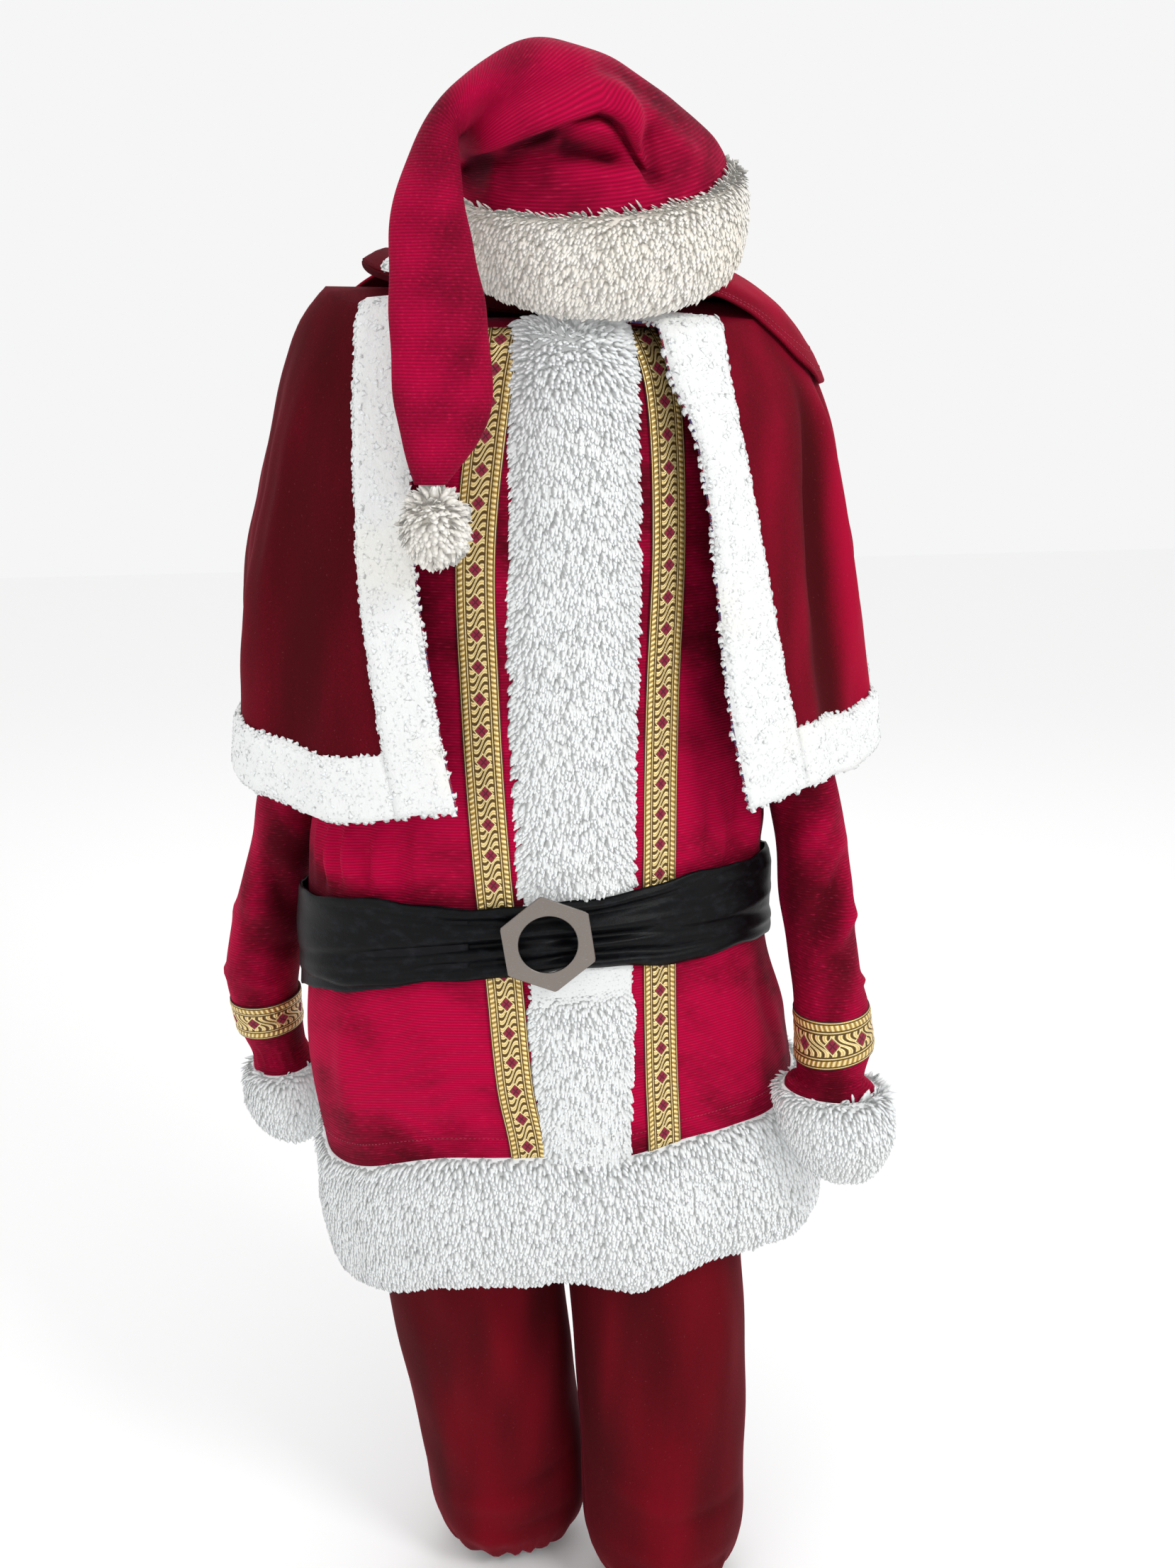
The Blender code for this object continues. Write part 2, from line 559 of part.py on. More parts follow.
# ---------------------------------------------------------------- jacket
def angle_of_x(form: Callable[[float, float], Vector], row: float, x: float) -> float:
    """The angle on the front of a form where a row crosses an x."""
    low, high = -1.5, 1.5
    for _ in range(40):
        middle = (low + high) / 2.0
        if form(middle, row).x < x:
            low = middle
        else:
            high = middle
    return (low + high) / 2.0


def body_angles(row: float) -> list[float]:
    """The columns of the jacket: 17 across the two fronts, and 9 more round the back."""
    z = along(BODY, row)[0]
    edges = along(FRONTS, place_of(FRONTS, z))[1:]
    inner = [angle_of_x(body_form, row, x) for x in edges]
    right = [-SIDE_SEAM + (inner[0] + SIDE_SEAM) * share for share in (0.0, 0.30, 0.55, 0.78)]
    left = [inner[-1] + (SIDE_SEAM - inner[-1]) * share for share in (0.22, 0.45, 0.70, 1.0)]
    ahead = right + inner + left
    round_back = 2.0 * math.pi - 2.0 * SIDE_SEAM
    behind = [SIDE_SEAM + round_back * share / BACK_CELLS for share in range(1, BACK_CELLS + 1)]
    return ahead + behind


BACK_CELLS = 10
FUR_RIGHT, FUR_MIDDLE, FUR_LEFT = 5, 6, 7    # columns of the jacket at the fur panel's edges and middle
BRAID_RIGHT, BRAID_LEFT = 4, 8               # columns at the braids' outer edges
FRONT_END, BACK_END = 12, 12 + BACK_CELLS    # columns of the side seams


def belt_cover(row: int) -> bool:
    """Whether a row of the jacket lies under the belt."""
    return abs(BODY[row].z - BELT_MIDDLE) < BELT_COVER


def add_jacket() -> None:
    """The two fronts, the back, the fur panel, the braids and the hem's fur."""
    body = sheet_of(body_form, list(range(len(BODY))), body_angles)
    down = (0, HEM_ROW)
    gap_rows = range(*ARMHOLE_ROWS)
    add_wall("jacket_front_right", body.cut(down, (0, FUR_MIDDLE)), -CLOTH, 0.0, "crimson_cord",
             {(r, 0) for r in gap_rows})
    last = FRONT_END - FUR_MIDDLE - 1
    add_wall("jacket_front_left", body.cut(down, (FUR_MIDDLE, FRONT_END)), -CLOTH, 0.0, "crimson_cord",
             {(r, last) for r in gap_rows})
    add_wall("jacket_back", body.cut(down, (FRONT_END, BACK_END)), -CLOTH, 0.0, "crimson_cord",
             {(r, c) for r in gap_rows for c in (0, BACK_CELLS - 1)})
    braid_top = 1
    add_wall("braid_right", body.cut((braid_top, HEM_ROW), (BRAID_RIGHT, FUR_RIGHT)),
             LAYER_GAP, LAYER_GAP + BRAID, "gold_braid")
    add_wall("braid_left", body.cut((braid_top, HEM_ROW), (FUR_LEFT, BRAID_LEFT)),
             LAYER_GAP, LAYER_GAP + BRAID, "gold_braid")
    panel = body.cut((braid_top, HEM_ROW), (FUR_RIGHT, FUR_LEFT))
    add_wall("fur_front", panel, LAYER_GAP, lambda r, c: fur_reach(r + braid_top, c == 1), "white_plush")
    add_hem(body)


def fur_reach(row: int, middle: bool) -> float:
    """The reach of the front fur: full in its middle, thin at its edges and pressed flat by the belt."""
    if belt_cover(row):
        return PANEL_FUR_PRESSED
    return PANEL_FUR if middle else PANEL_FUR * PANEL_EDGE


def add_hem(body: Sheet) -> None:
    """The hem's fur, in a piece for each front and one for the back."""
    rows = (HEM_ROW, len(BODY) - 1)
    cuts = {"hem_fur_right": (0, FUR_MIDDLE), "hem_fur_left": (FUR_MIDDLE, FRONT_END),
            "hem_fur_back": (FRONT_END, BACK_END)}
    for name, cols in cuts.items():
        add_wall(name, body.cut(rows, cols), -CLOTH, lambda r, c: HEM_FUR * BRIM_ROUND[r], "white_plush")


# ---------------------------------------------------------------- sleeves
SLEEVE_CELLS = 12


def add_sleeve(word: str, rows: tuple, side: float) -> None:
    """A sleeve from its armhole to its cuff, with its braid and its fur."""
    angles = [2.0 * math.pi * c / SLEEVE_CELLS for c in range(SLEEVE_CELLS)]
    tube = sheet_of(sleeve_form(rows, side), list(range(len(rows))), lambda row: angles, True)
    add_wall("sleeve_" + word, tube, -CLOTH, 0.0, "crimson_cord")
    add_wall("sleeve_braid_" + word, tube.cut(BRAID_ROWS), LAYER_GAP, LAYER_GAP + BRAID, "gold_braid")
    add_wall("cuff_fur_" + word, tube.cut(CUFF_ROWS), LAYER_GAP, lambda r, c: CUFF_FUR * CUFF_ROUND[r],
             "white_plush")


# ---------------------------------------------------------------- cape
CAPE_CELLS = 26


def cape_angles(row: float) -> list[float]:
    """The columns of the cape, from its right front edge round the back to its left one."""
    *_, outer_right, edge_right, edge_left, outer_left = along(CAPE, row)
    right = [angle_of_x(cape_form, row, x) for x in (edge_right, outer_right)]
    left = [angle_of_x(cape_form, row, x) for x in (outer_left, edge_left)]
    start, stop = right[1], left[0] - 2.0 * math.pi
    between = [start + (stop - start) * c / CAPE_CELLS for c in range(1, CAPE_CELLS)]
    return list(reversed([right[0], start] + between + [stop, left[1] - 2.0 * math.pi]))


def add_cape() -> None:
    """The cape's two fronts and back, its collar, and its borders of short curls."""
    cape = sheet_of(cape_form, list(range(len(CAPE))), cape_angles)
    last_col, last_row = CAPE_CELLS + 2, len(CAPE) - 1
    left_seam, right_seam = 7, last_col - 7
    rows = (0, last_row)
    add_wall("cape_front_left", cape.cut(rows, (0, left_seam)), -CLOTH, 0.0, "velvet_cape")
    add_wall("cape_back", cape.cut(rows, (left_seam, right_seam)), -CLOTH, 0.0, "velvet_cape")
    add_wall("cape_front_right", cape.cut(rows, (right_seam, last_col)), -CLOTH, 0.0, "velvet_cape")
    fur = LAYER_GAP + BORDER_FUR
    add_wall("cape_border_left", cape.cut(rows, (0, 1)), LAYER_GAP, fur, "sherpa")
    add_wall("cape_border_right", cape.cut(rows, (last_col - 1, last_col)), LAYER_GAP, fur, "sherpa")
    add_wall("cape_border_hem", cape.cut((last_row - 1, last_row), (1, last_col - 1)), LAYER_GAP, fur, "sherpa")
    add_wall("cape_collar", cape.cut(COLLAR_ROWS, (2, right_seam)), LAYER_GAP, LAYER_GAP + CLOTH, "velvet_cape")


# ---------------------------------------------------------------- hat
HAT_CELLS = 16


def add_hat() -> None:
    """The ribbed crown with its hanging tail, the fur brim and the pom-pom."""
    angles = [2.0 * math.pi * c / HAT_CELLS for c in range(HAT_CELLS)]
    crown = sheet_of(hat_form, list(range(len(HAT))), lambda row: angles, True)
    # the crown's rows run up from the brim, so its outward side is the other one
    crown.points.reverse()
    crown.outward = [[-normal for normal in line] for line in reversed(crown.outward)]
    add_wall("hat_crown", crown, -HAT_CLOTH, 0.0, "hat_rib")
    last = len(HAT) - 1
    brim = crown.cut((last - BRIM_ROWS[1], last))
    add_wall("hat_brim", brim, LAYER_GAP, lambda r, c: BRIM_FUR * BRIM_ROUND[r], "cream_plush")
    ball = bmesh.new()
    bmesh.ops.create_icosphere(ball, subdivisions=2, radius=POMPOM_RADIUS)
    for corner in ball.verts:
        corner.co = Vector((corner.co.x * 0.88, corner.co.y * 0.9, corner.co.z * 1.08)) + POMPOM_CENTRE
    add_mesh("hat_pompom", ball, "cream_plush")


# ---------------------------------------------------------------- trousers
LEG_CELLS = 7


def add_trousers() -> None:
    """A front and a back for each leg, and the waistband."""
    rows = list(range(len(LEGS)))
    for word, side in (("right", -1.0), ("left", 1.0)):
        form = leg_form(side)
        for face in ("front", "back"):
            half = half_leg(form, side, face, rows)
            add_wall(f"trouser_{face}_{word}", half, -CLOTH, 0.0, "velvet_trouser")
            add_wall(f"waistband_{face}_{word}", half.cut(WAISTBAND_ROWS), LAYER_GAP, LAYER_GAP + CLOTH,
                     "velvet_trouser")


def half_leg(form: Callable[[float, float], Vector], side: float, face: str, rows: list[int]) -> Sheet:
    """The front or the back of one leg, its columns running towards the wearer's left across the front."""
    turn = 1.0 if face == "front" else -1.0
    steps = [math.pi * c / LEG_CELLS for c in range(LEG_CELLS + 1)]

    def faced(angle: float, row: float) -> Vector:
        point = form(angle, row)
        middle = leg_middle_y(side, row)
        return Vector((point.x, middle + (point.y - middle) * turn, point.z))

    order = steps if side * turn > 0.0 else list(reversed(steps))
    signed = side * turn
    sheet = sheet_of(faced, rows, lambda row: order)
    if signed < 0.0:
        sheet.outward = [[-normal for normal in line] for line in sheet.outward]
    return sheet


def leg_middle_y(side: float, row: float) -> float:
    """The y of a leg's middle, 0 in the hips."""
    values = along(LEGS, row)
    return (values[6] if side > 0.0 else values[4]) * values[-1]


# ---------------------------------------------------------------- belt
BELT_CELLS = 32


def belt_angle(column: int) -> float:
    """The angle of a column of the belt."""
    return 2.0 * math.pi * column / BELT_CELLS


def belt_height(angle: float) -> tuple[float, float]:
    """The belt's middle and half width at an angle: gathered at the buckle, level round the back."""
    gather = hill(turn_between(angle, BELT_FRONT), 0.0, BELT_GATHER_WIDTH)
    rise = smooth(math.cos(angle), -0.2, 1.0)
    return BELT_MIDDLE + BELT_RISE * rise + BELT_TILT * math.sin(angle), BELT_HALF * (1.0 - BELT_GATHER * gather)


def belt_form(angle: float, share: float) -> Vector:
    """The belt's band on the jacket; share runs from its top edge (0) to its bottom one (1)."""
    middle, half = belt_height(angle)
    z = middle + half - 2.0 * half * share
    point = body_form(angle, place_of(BODY, z))
    return Vector((point.x, point.y, z))


def tail_form(angle: float, share: float) -> Vector:
    """The strap's free end, folded back under it and dropping towards its tip."""
    tip, buckle = (belt_angle(c) for c in BELT_TAIL_COLUMNS)
    drop = BELT_TAIL_DROP * smooth(buckle - angle, 0.0, buckle - tip)
    point = belt_form(angle, share)
    below = body_form(angle, place_of(BODY, point.z - drop))
    return Vector((below.x, below.y, point.z - drop))


def add_belt() -> None:
    """The strap round the waist, its hanging second layer, and the buckle."""
    rows = [0.0, 0.25, 0.5, 0.75, 1.0]
    angles = [belt_angle(c) for c in range(BELT_CELLS)]
    under = PANEL_FUR_PRESSED + 3.0 * LAYER_GAP
    over = under + LEATHER + 2.0 * LAYER_GAP
    strap = sheet_of(belt_form, rows, lambda row: angles, True)
    add_wall("belt_strap", strap, over, over + LEATHER, "black_leather")
    first, last = BELT_TAIL_COLUMNS
    tail = sheet_of(tail_form, rows, lambda row: [belt_angle(c) for c in range(first, last + 1)])
    add_wall("belt_tail", tail, under, under + LEATHER, "black_leather")
    bpy.ops.mesh.primitive_cylinder_add(vertices=6, radius=BUCKLE_RADIUS, depth=BUCKLE_THICK)
    plate = bpy.context.object
    plate.name = plate.data.name = "buckle"
    plate.location = BUCKLE_CENTRE
    plate.rotation_euler = (math.pi / 2.0, BUCKLE_TURN, BUCKLE_YAW)
    plate.data.materials.append(material("nickel"))
    move_to(plate, "santa_suit")
    bpy.ops.mesh.primitive_cylinder_add(vertices=36, radius=BUCKLE_HOLE, depth=BUCKLE_THICK * 4.0)
    hole = bpy.context.object
    hole.name = "buckle_hole_cutter"
    hole.location = plate.location
    hole.rotation_euler = plate.rotation_euler
    hole.hide_render = True
    hole.display_type = "WIRE"
    move_to(hole, "cutters")
    cut = plate.modifiers.new("hole", "BOOLEAN")
    cut.operation = "DIFFERENCE"
    cut.object = hole


def move_to(thing: bpy.types.Object, name: str) -> None:
    """Keep an object in one named collection only."""
    for group in list(thing.users_collection):
        group.objects.unlink(thing)
    bpy.data.collections[name].objects.link(thing)


def main() -> None:
    """Clear the scene and build the suit."""
    for thing in list(bpy.data.objects):
        bpy.data.objects.remove(thing, do_unlink=True)
    for name in ("santa_suit", "cutters"):
        bpy.context.scene.collection.children.link(bpy.data.collections.new(name))
    add_jacket()
    add_sleeve("left", SLEEVE_LEFT, 1.0)
    add_sleeve("right", SLEEVE_RIGHT, -1.0)
    add_cape()
    add_hat()
    add_trousers()
    add_belt()


main()
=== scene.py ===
"""Looks of a worn, filled-out Santa suit: stocking hat, shoulder cape, long belted jacket and trousers.

Metres, +Z up, the suit's front towards -Y and its wearer's left towards +X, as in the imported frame. Each piece of
cloth is a thin shell read from a form (a surface at an angle and a row), and each trim is read from the same rows
of the panel that it is sewn to, moved out. Fur is a backing sheet with a pile of locks that Geometry Nodes grow.
"""

import logging
import math
from dataclasses import dataclass, field, replace
from enum import Enum
from typing import NamedTuple

import bmesh
import bpy
import numpy as np
from mathutils import Matrix, Vector


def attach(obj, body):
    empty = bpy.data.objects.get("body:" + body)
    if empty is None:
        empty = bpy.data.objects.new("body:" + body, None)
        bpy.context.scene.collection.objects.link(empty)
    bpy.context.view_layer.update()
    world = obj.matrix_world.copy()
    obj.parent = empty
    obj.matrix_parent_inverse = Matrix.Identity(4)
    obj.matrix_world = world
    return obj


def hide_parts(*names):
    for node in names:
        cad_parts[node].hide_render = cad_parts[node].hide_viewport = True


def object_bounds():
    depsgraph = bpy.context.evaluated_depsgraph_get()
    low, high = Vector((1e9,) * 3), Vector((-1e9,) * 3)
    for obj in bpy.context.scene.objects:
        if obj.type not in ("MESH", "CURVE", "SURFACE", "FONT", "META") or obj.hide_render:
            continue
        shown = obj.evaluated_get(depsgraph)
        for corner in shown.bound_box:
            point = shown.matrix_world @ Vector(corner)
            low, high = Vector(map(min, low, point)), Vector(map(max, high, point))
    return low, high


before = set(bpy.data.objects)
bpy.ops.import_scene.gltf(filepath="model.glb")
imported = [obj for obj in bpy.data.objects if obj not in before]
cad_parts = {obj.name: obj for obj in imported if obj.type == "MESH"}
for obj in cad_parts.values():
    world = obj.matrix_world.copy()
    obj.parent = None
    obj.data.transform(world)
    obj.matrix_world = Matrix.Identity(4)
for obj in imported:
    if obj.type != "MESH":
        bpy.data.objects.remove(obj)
CAD_BOX = [list(map(float, corner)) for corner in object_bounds()]
LOG = logging.getLogger("santa_suit")

Array = np.ndarray
Thing = bpy.types.Object
Shader = bpy.types.Node
MM = 0.001
SLOPE_STEP = 2e-3          # step for the slopes of a form
LAYER = 0.0006             # clear space between two layers of cloth
BODY = "root"


class Held(Enum):
    HUNG = "hung"
    DRAPED = "draped"
    GATHERED = "gathered"
    STRETCHED = "stretched"


# ---- numbers
def smooth(value: Array, low: float, high: float) -> Array:
    """Ease from 0 where a value is low to 1 where it is high."""
    share = np.clip((value - low) / (high - low), 0.0, 1.0)
    return share * share * (3.0 - 2.0 * share)


def hill(distance: Array, width: Array | float) -> Array:
    """A rounded hill, 1 in its middle and 0 where the distance passes its width."""
    share = np.clip(np.abs(distance) / width, 0.0, 1.0)
    return (1.0 - share * share) ** 2


def turn(a: Array, b: float) -> Array:
    """The turn from angle b to each angle a, the short way round."""
    return (a - b + math.pi) % (2.0 * math.pi) - math.pi


def all_round(count: int) -> Array:
    """Even angles all the way round."""
    return np.linspace(0.0, 2.0 * math.pi, count, endpoint=False)


def ripple(place: Array, seed: int, scale: float, size: float) -> Array:
    """A slow uneven wave over the points of a piece.

    Args:
        place: Points, the last axis x, y and z.
        seed: Picks the wave.
        scale: The length of a wave.
        size: Its height.

    Returns:
        Heights, one for each point.
    """
    rng = np.random.default_rng(seed)
    total = np.zeros(place.shape[:-1])
    for octave in range(4):
        ways = rng.normal(size=3)
        ways *= (1.0 + 0.6 * octave) * 2.0 * math.pi / (scale * np.linalg.norm(ways))
        total += np.sin(place @ ways + rng.uniform(0.0, 6.28)) / (1.0 + 0.6 * octave)
    return total * size / 2.0


class Table:
    """Named columns that run smoothly through the rows of a short table."""

    def __init__(self, rows: tuple, unit: float = 1.0) -> None:
        """Keep the rows of the table, in metres from the unit that they are written in."""
        self.values = np.array(rows, dtype=float) * unit

    def at(self, place: Array) -> tuple:
        """Read every column at fractional rows, one array for each column."""
        count = len(self.values)
        place = np.clip(np.asarray(place, dtype=float), 0.0, count - 1.0)
        row = np.minimum(place.astype(int), count - 2)
        t = (place - row)[..., None]
        before, here = self.values[np.maximum(row - 1, 0)], self.values[row]
        after, beyond = self.values[row + 1], self.values[np.minimum(row + 2, count - 1)]
        leave, arrive = (after - before) / 2.0, (beyond - here) / 2.0
        curve = (here * (2 * t**3 - 3 * t**2 + 1) + leave * (t**3 - 2 * t**2 + t)
                 + after * (3 * t**2 - 2 * t**3) + arrive * (t**3 - t**2))
        return tuple(np.moveaxis(curve, -1, 0))

    def place_of(self, value: Array) -> Array:
        """Find the fractional rows where the falling first column has a value."""
        fine = np.linspace(0.0, len(self.values) - 1.0, 40 * len(self.values))
        heights = self.at(fine)[0]
        return np.interp(-np.asarray(value), -heights, fine)


class Fold(NamedTuple):
    """A soft ridge (depth over 0) or trough (under 0) that runs down a form."""

    angle: float
    width: float
    depth: float
    start: float
    full: float
    end: float


class Lift(NamedTuple):
    """How far a hem rises (over 0) or hangs (under 0) about one angle."""

    angle: float
    width: float
    rise: float


class Crease(NamedTuple):
    """A short soft ridge or trough between two places of a form, each an angle and a height."""

    angle_a: float
    z_a: float
    angle_b: float
    z_b: float
    width: float
    depth: float


def plump(count: int, deep: float) -> tuple[Array, Array]:
    """The round profile of plush from edge to edge, and how far each row is from its edges, 1 in the middle."""
    share = np.linspace(-1.0, 1.0, count)[:, None]
    return deep * np.sqrt(np.clip(1.0 - share**2 * 0.99, 0.0, 1.0)), 1.0 - share**2


def listed(kind: type, rows: tuple) -> tuple:
    """Make a named tuple of each row of a table."""
    return tuple(kind(*row) for row in rows)


def folds_at(folds: tuple, angle: Array, z: Array) -> Array:
    """Add up the folds of a form.

    Args:
        folds: The form's folds.
        angle: Angles on the form.
        z: Heights there.

    Returns:
        How far the cloth moves out at each place.
    """
    total = np.zeros(np.broadcast(angle, z).shape)
    for fold in folds:
        rise = smooth(-z, -fold.start, -fold.full) * (1.0 - smooth(-z, -fold.full, -fold.end))
        total += fold.depth * hill(turn(angle, fold.angle), fold.width) * rise
    return total


def creases_at(creases: tuple, angle: Array, z: Array, radius: float) -> Array:
    """Add up the short creases of a form.

    Args:
        creases: The form's creases.
        angle: Angles on the form.
        z: Heights there.
        radius: Turns an angle into a length.

    Returns:
        How far the cloth moves out at each place.
    """
    total = np.zeros(np.broadcast(angle, z).shape)
    for each in creases:
        x = turn(angle, each.angle_a) * radius
        along_x, along_z = turn(np.array(each.angle_b), each.angle_a) * radius, each.z_b - each.z_a
        size = math.hypot(along_x, along_z)
        share = (x * along_x + (z - each.z_a) * along_z) / size**2
        across = (x * along_z - (z - each.z_a) * along_x) / size
        fade = hill(share - 0.5, 0.62)
        total += each.depth * fade * np.exp(-((across / each.width) ** 2))
    return total


def strokes_at(strokes: tuple, x: Array, z: Array) -> Array:
    """Add up soft strokes drawn on the front of a form, their places given as x and z.

    Args:
        strokes: Creases whose angles are x.
        x: The points' x.
        z: The points' z.

    Returns:
        How far the cloth moves forward at each place.
    """
    total = np.zeros(x.shape)
    for each in strokes:
        along_x, along_z = each.angle_b - each.angle_a, each.z_b - each.z_a
        size = math.hypot(along_x, along_z)
        share = ((x - each.angle_a) * along_x + (z - each.z_a) * along_z) / size**2
        across = ((x - each.angle_a) * along_z - (z - each.z_a) * along_x) / size
        past = np.maximum(np.abs(share - 0.5) - 0.5, 0.0) * size
        total += each.depth * np.exp(-((across / each.width) ** 2) - ((past / each.width) ** 2))
    return total


def lifts_at(lifts: tuple, angle: Array) -> Array:
    """Add up how far a hem rises at each angle."""
    return sum(each.rise * hill(turn(angle, each.angle), each.width) for each in lifts)


def oval(angle: Array, half: Array, front: Array, back: Array, power: float = 2.15) -> tuple[Array, Array]:
    """Points of a rounded section, the angle taken from the front towards +X.

    Args:
        angle: Angles round the section.
        half: Half of its width.
        front: Its depth in front.
        back: Its depth behind.
        power: 2 is an ellipse, and more is boxier.

    Returns:
        The x and y of each point.
    """
    side, ahead = np.sin(angle), np.cos(angle)
    size = (np.abs(side) ** power + np.abs(ahead) ** power) ** (-1.0 / power)
    deep = back + (front - back) * smooth(ahead, -0.12, 0.12)
    return half * side * size, -deep * ahead * size


# ---- cloth as rows and columns of points
@dataclass
class Cloth:
    """A sheet of points, its rows running down and its columns towards the wearer's left."""

    points: Array
    outward: Array
    closed: bool = False

    def cut(self, rows: slice, cols: slice = slice(None)) -> "Cloth":
        """Keep some rows and columns."""
        whole = cols == slice(None)
        return Cloth(self.points[rows, cols], self.outward[rows, cols], self.closed and whole)

    def moved(self, amount: Array | float) -> "Cloth":
        """Move the sheet out by one number, or one for each point, and find its outward directions again."""
        points = self.points + self.outward * np.asarray(amount)[..., None]
        return Cloth(points, facing(points, self.closed, self.outward), self.closed)

    def ring(self, grid: Array) -> Array:
        """Repeat the first column past the last one where the sheet is a tube."""
        return np.concatenate([grid, grid[:, :1]], axis=1) if self.closed else grid

    def measures(self) -> tuple[Array, Array]:
        """The distance along the rows and down the columns, as means over the sheet."""
        grid = self.ring(self.points)
        across = np.linalg.norm(np.diff(grid, axis=1), axis=2).mean(axis=0)
        down = np.linalg.norm(np.diff(grid, axis=0), axis=2).mean(axis=1)
        return np.concatenate([[0.0], across.cumsum()]), np.concatenate([[0.0], down.cumsum()])

    def area(self) -> float:
        """The sheet's area in square metres."""
        grid = self.ring(self.points)
        a, b = grid[1:, 1:] - grid[:-1, :-1], grid[1:, :-1] - grid[:-1, 1:]
        return float(np.linalg.norm(np.cross(a, b), axis=2).sum() / 2.0)

    def cut_size(self) -> tuple[float, float]:
        """The width and length that the sheet is cut from."""
        grid = self.ring(self.points)
        width = np.linalg.norm(np.diff(grid, axis=1), axis=2).sum(axis=1).max()
        length = np.linalg.norm(np.diff(grid, axis=0), axis=2).sum(axis=0).max()
        return round(float(width), 3), round(float(length), 3)

    def shell(self, name: str, inside: Array | float, outside: Array | float,
              lit: Array | float = 0.5) -> Thing:
        """Make the closed shell between two offsets of the sheet, its UV map in metres and its painted light and shade
        on each point.

        Args:
            name: The piece's name.
            inside: Offset of the inner wall.
            outside: Offset of the outer wall.
            lit: How strongly painted light stands on the piece, from 0 (painted shade) to 1.

        Returns:
            The new object.
        """
        rows, cols = self.points.shape[:2]
        outer = self.points + self.outward * np.broadcast_to(outside, (rows, cols))[..., None]
        inner = self.points + self.outward * np.broadcast_to(inside, (rows, cols))[..., None]
        across, down = self.measures()
        spans = cols if self.closed else cols - 1
        r, c = np.meshgrid(np.arange(rows - 1), np.arange(spans), indexing="ij")
        d = (c + 1) % cols
        quads = np.stack([r * cols + c, (r + 1) * cols + c, (r + 1) * cols + d, r * cols + d], axis=-1).reshape(-1, 4)
        marks = np.stack([np.stack([across[c], -down[r]], -1), np.stack([across[c], -down[r + 1]], -1),
                          np.stack([across[c + 1], -down[r + 1]], -1), np.stack([across[c + 1], -down[r]], -1)],
                         axis=2).reshape(-1, 4, 2)
        far = rows * cols
        faces, uvs = [quads, quads[:, ::-1] + far], [marks, marks[:, ::-1]]
        step = np.arange(spans)
        left, right = step, (step + 1) % cols
        for line, flip in ((0, False), ((rows - 1) * cols, True)):
            rim = np.stack([line + left, line + right, line + right + far, line + left + far], axis=-1)
            mark = np.zeros((spans, 4, 2))
            mark[:, 0, 0] = mark[:, 3, 0] = across[step]
            mark[:, 1, 0] = mark[:, 2, 0] = across[step + 1]
            mark[:, :, 1] = -(down[-1] if flip else 0.0)
            faces.append(rim[:, ::-1] if flip else rim)
            uvs.append(mark[:, ::-1] if flip else mark)
        if not self.closed:
            drop = np.arange(rows - 1)
            for column, flip in ((0, True), (cols - 1, False)):
                a, b = drop * cols + column, (drop + 1) * cols + column
                rim = np.stack([a, b, b + far, a + far], axis=-1)
                mark = np.zeros((rows - 1, 4, 2))
                mark[:, :, 0] = across[-1] if column else 0.0
                mark[:, 0, 1] = mark[:, 3, 1] = -down[drop]
                mark[:, 1, 1] = mark[:, 2, 1] = -down[drop + 1]
                faces.append(rim[:, ::-1] if flip else rim)
                uvs.append(mark[:, ::-1] if flip else mark)
        points = np.concatenate([outer.reshape(-1, 3), inner.reshape(-1, 3)])
        piece = mesh_object(name, points, np.concatenate(faces), np.concatenate(uvs))
        # painted light and shade, kept on each point for the finish to read
        painted_light = np.broadcast_to(lit, (rows, cols)).astype(np.float32).ravel()
        # painted shade: the inner wall gets half the painted light of the outer one
        painted_light = np.concatenate([painted_light, painted_light * 0.5])
        piece.data.attributes.new("painted_light", "FLOAT", "POINT").data.foreach_set("value", np.clip(painted_light, 0.0, 1.0))
        return piece


def redraw_uv(piece: Thing, change: Array, flip: bool = False) -> None:
    """Scale a piece's UV map by two numbers, or turn it so that its figure runs round instead of down."""
    data = piece.data.uv_layers["UVMap"].data
    marks = np.empty(len(data) * 2, dtype=np.float32)
    data.foreach_get("uv", marks)
    marks = marks.reshape(-1, 2) * change
    data.foreach_set("uv", np.ascontiguousarray(marks[:, ::-1] if flip else marks, dtype=np.float32).ravel())


def facing(points: Array, closed: bool, like: Array | None = None) -> Array:
    """Find the outward directions of a grid of points, on the same side as the directions like."""
    if closed:
        wide = np.concatenate([points[:, -1:], points, points[:, :1]], axis=1)
        across = wide[:, 2:] - wide[:, :-2]
    else:
        across = np.gradient(points, axis=1)
    normal = np.cross(np.gradient(points, axis=0), across)
    normal /= np.maximum(np.linalg.norm(normal, axis=2, keepdims=True), 1e-12)
    if like is not None:
        normal *= np.where((normal * like).sum(axis=2, keepdims=True) < 0.0, -1.0, 1.0)
    return normal


def placed(name: str, data: bpy.types.ID) -> Thing:
    """Make an object of some data, linked to the scene."""
    thing = bpy.data.objects.new(name, data)
    bpy.context.scene.collection.objects.link(thing)
    return thing


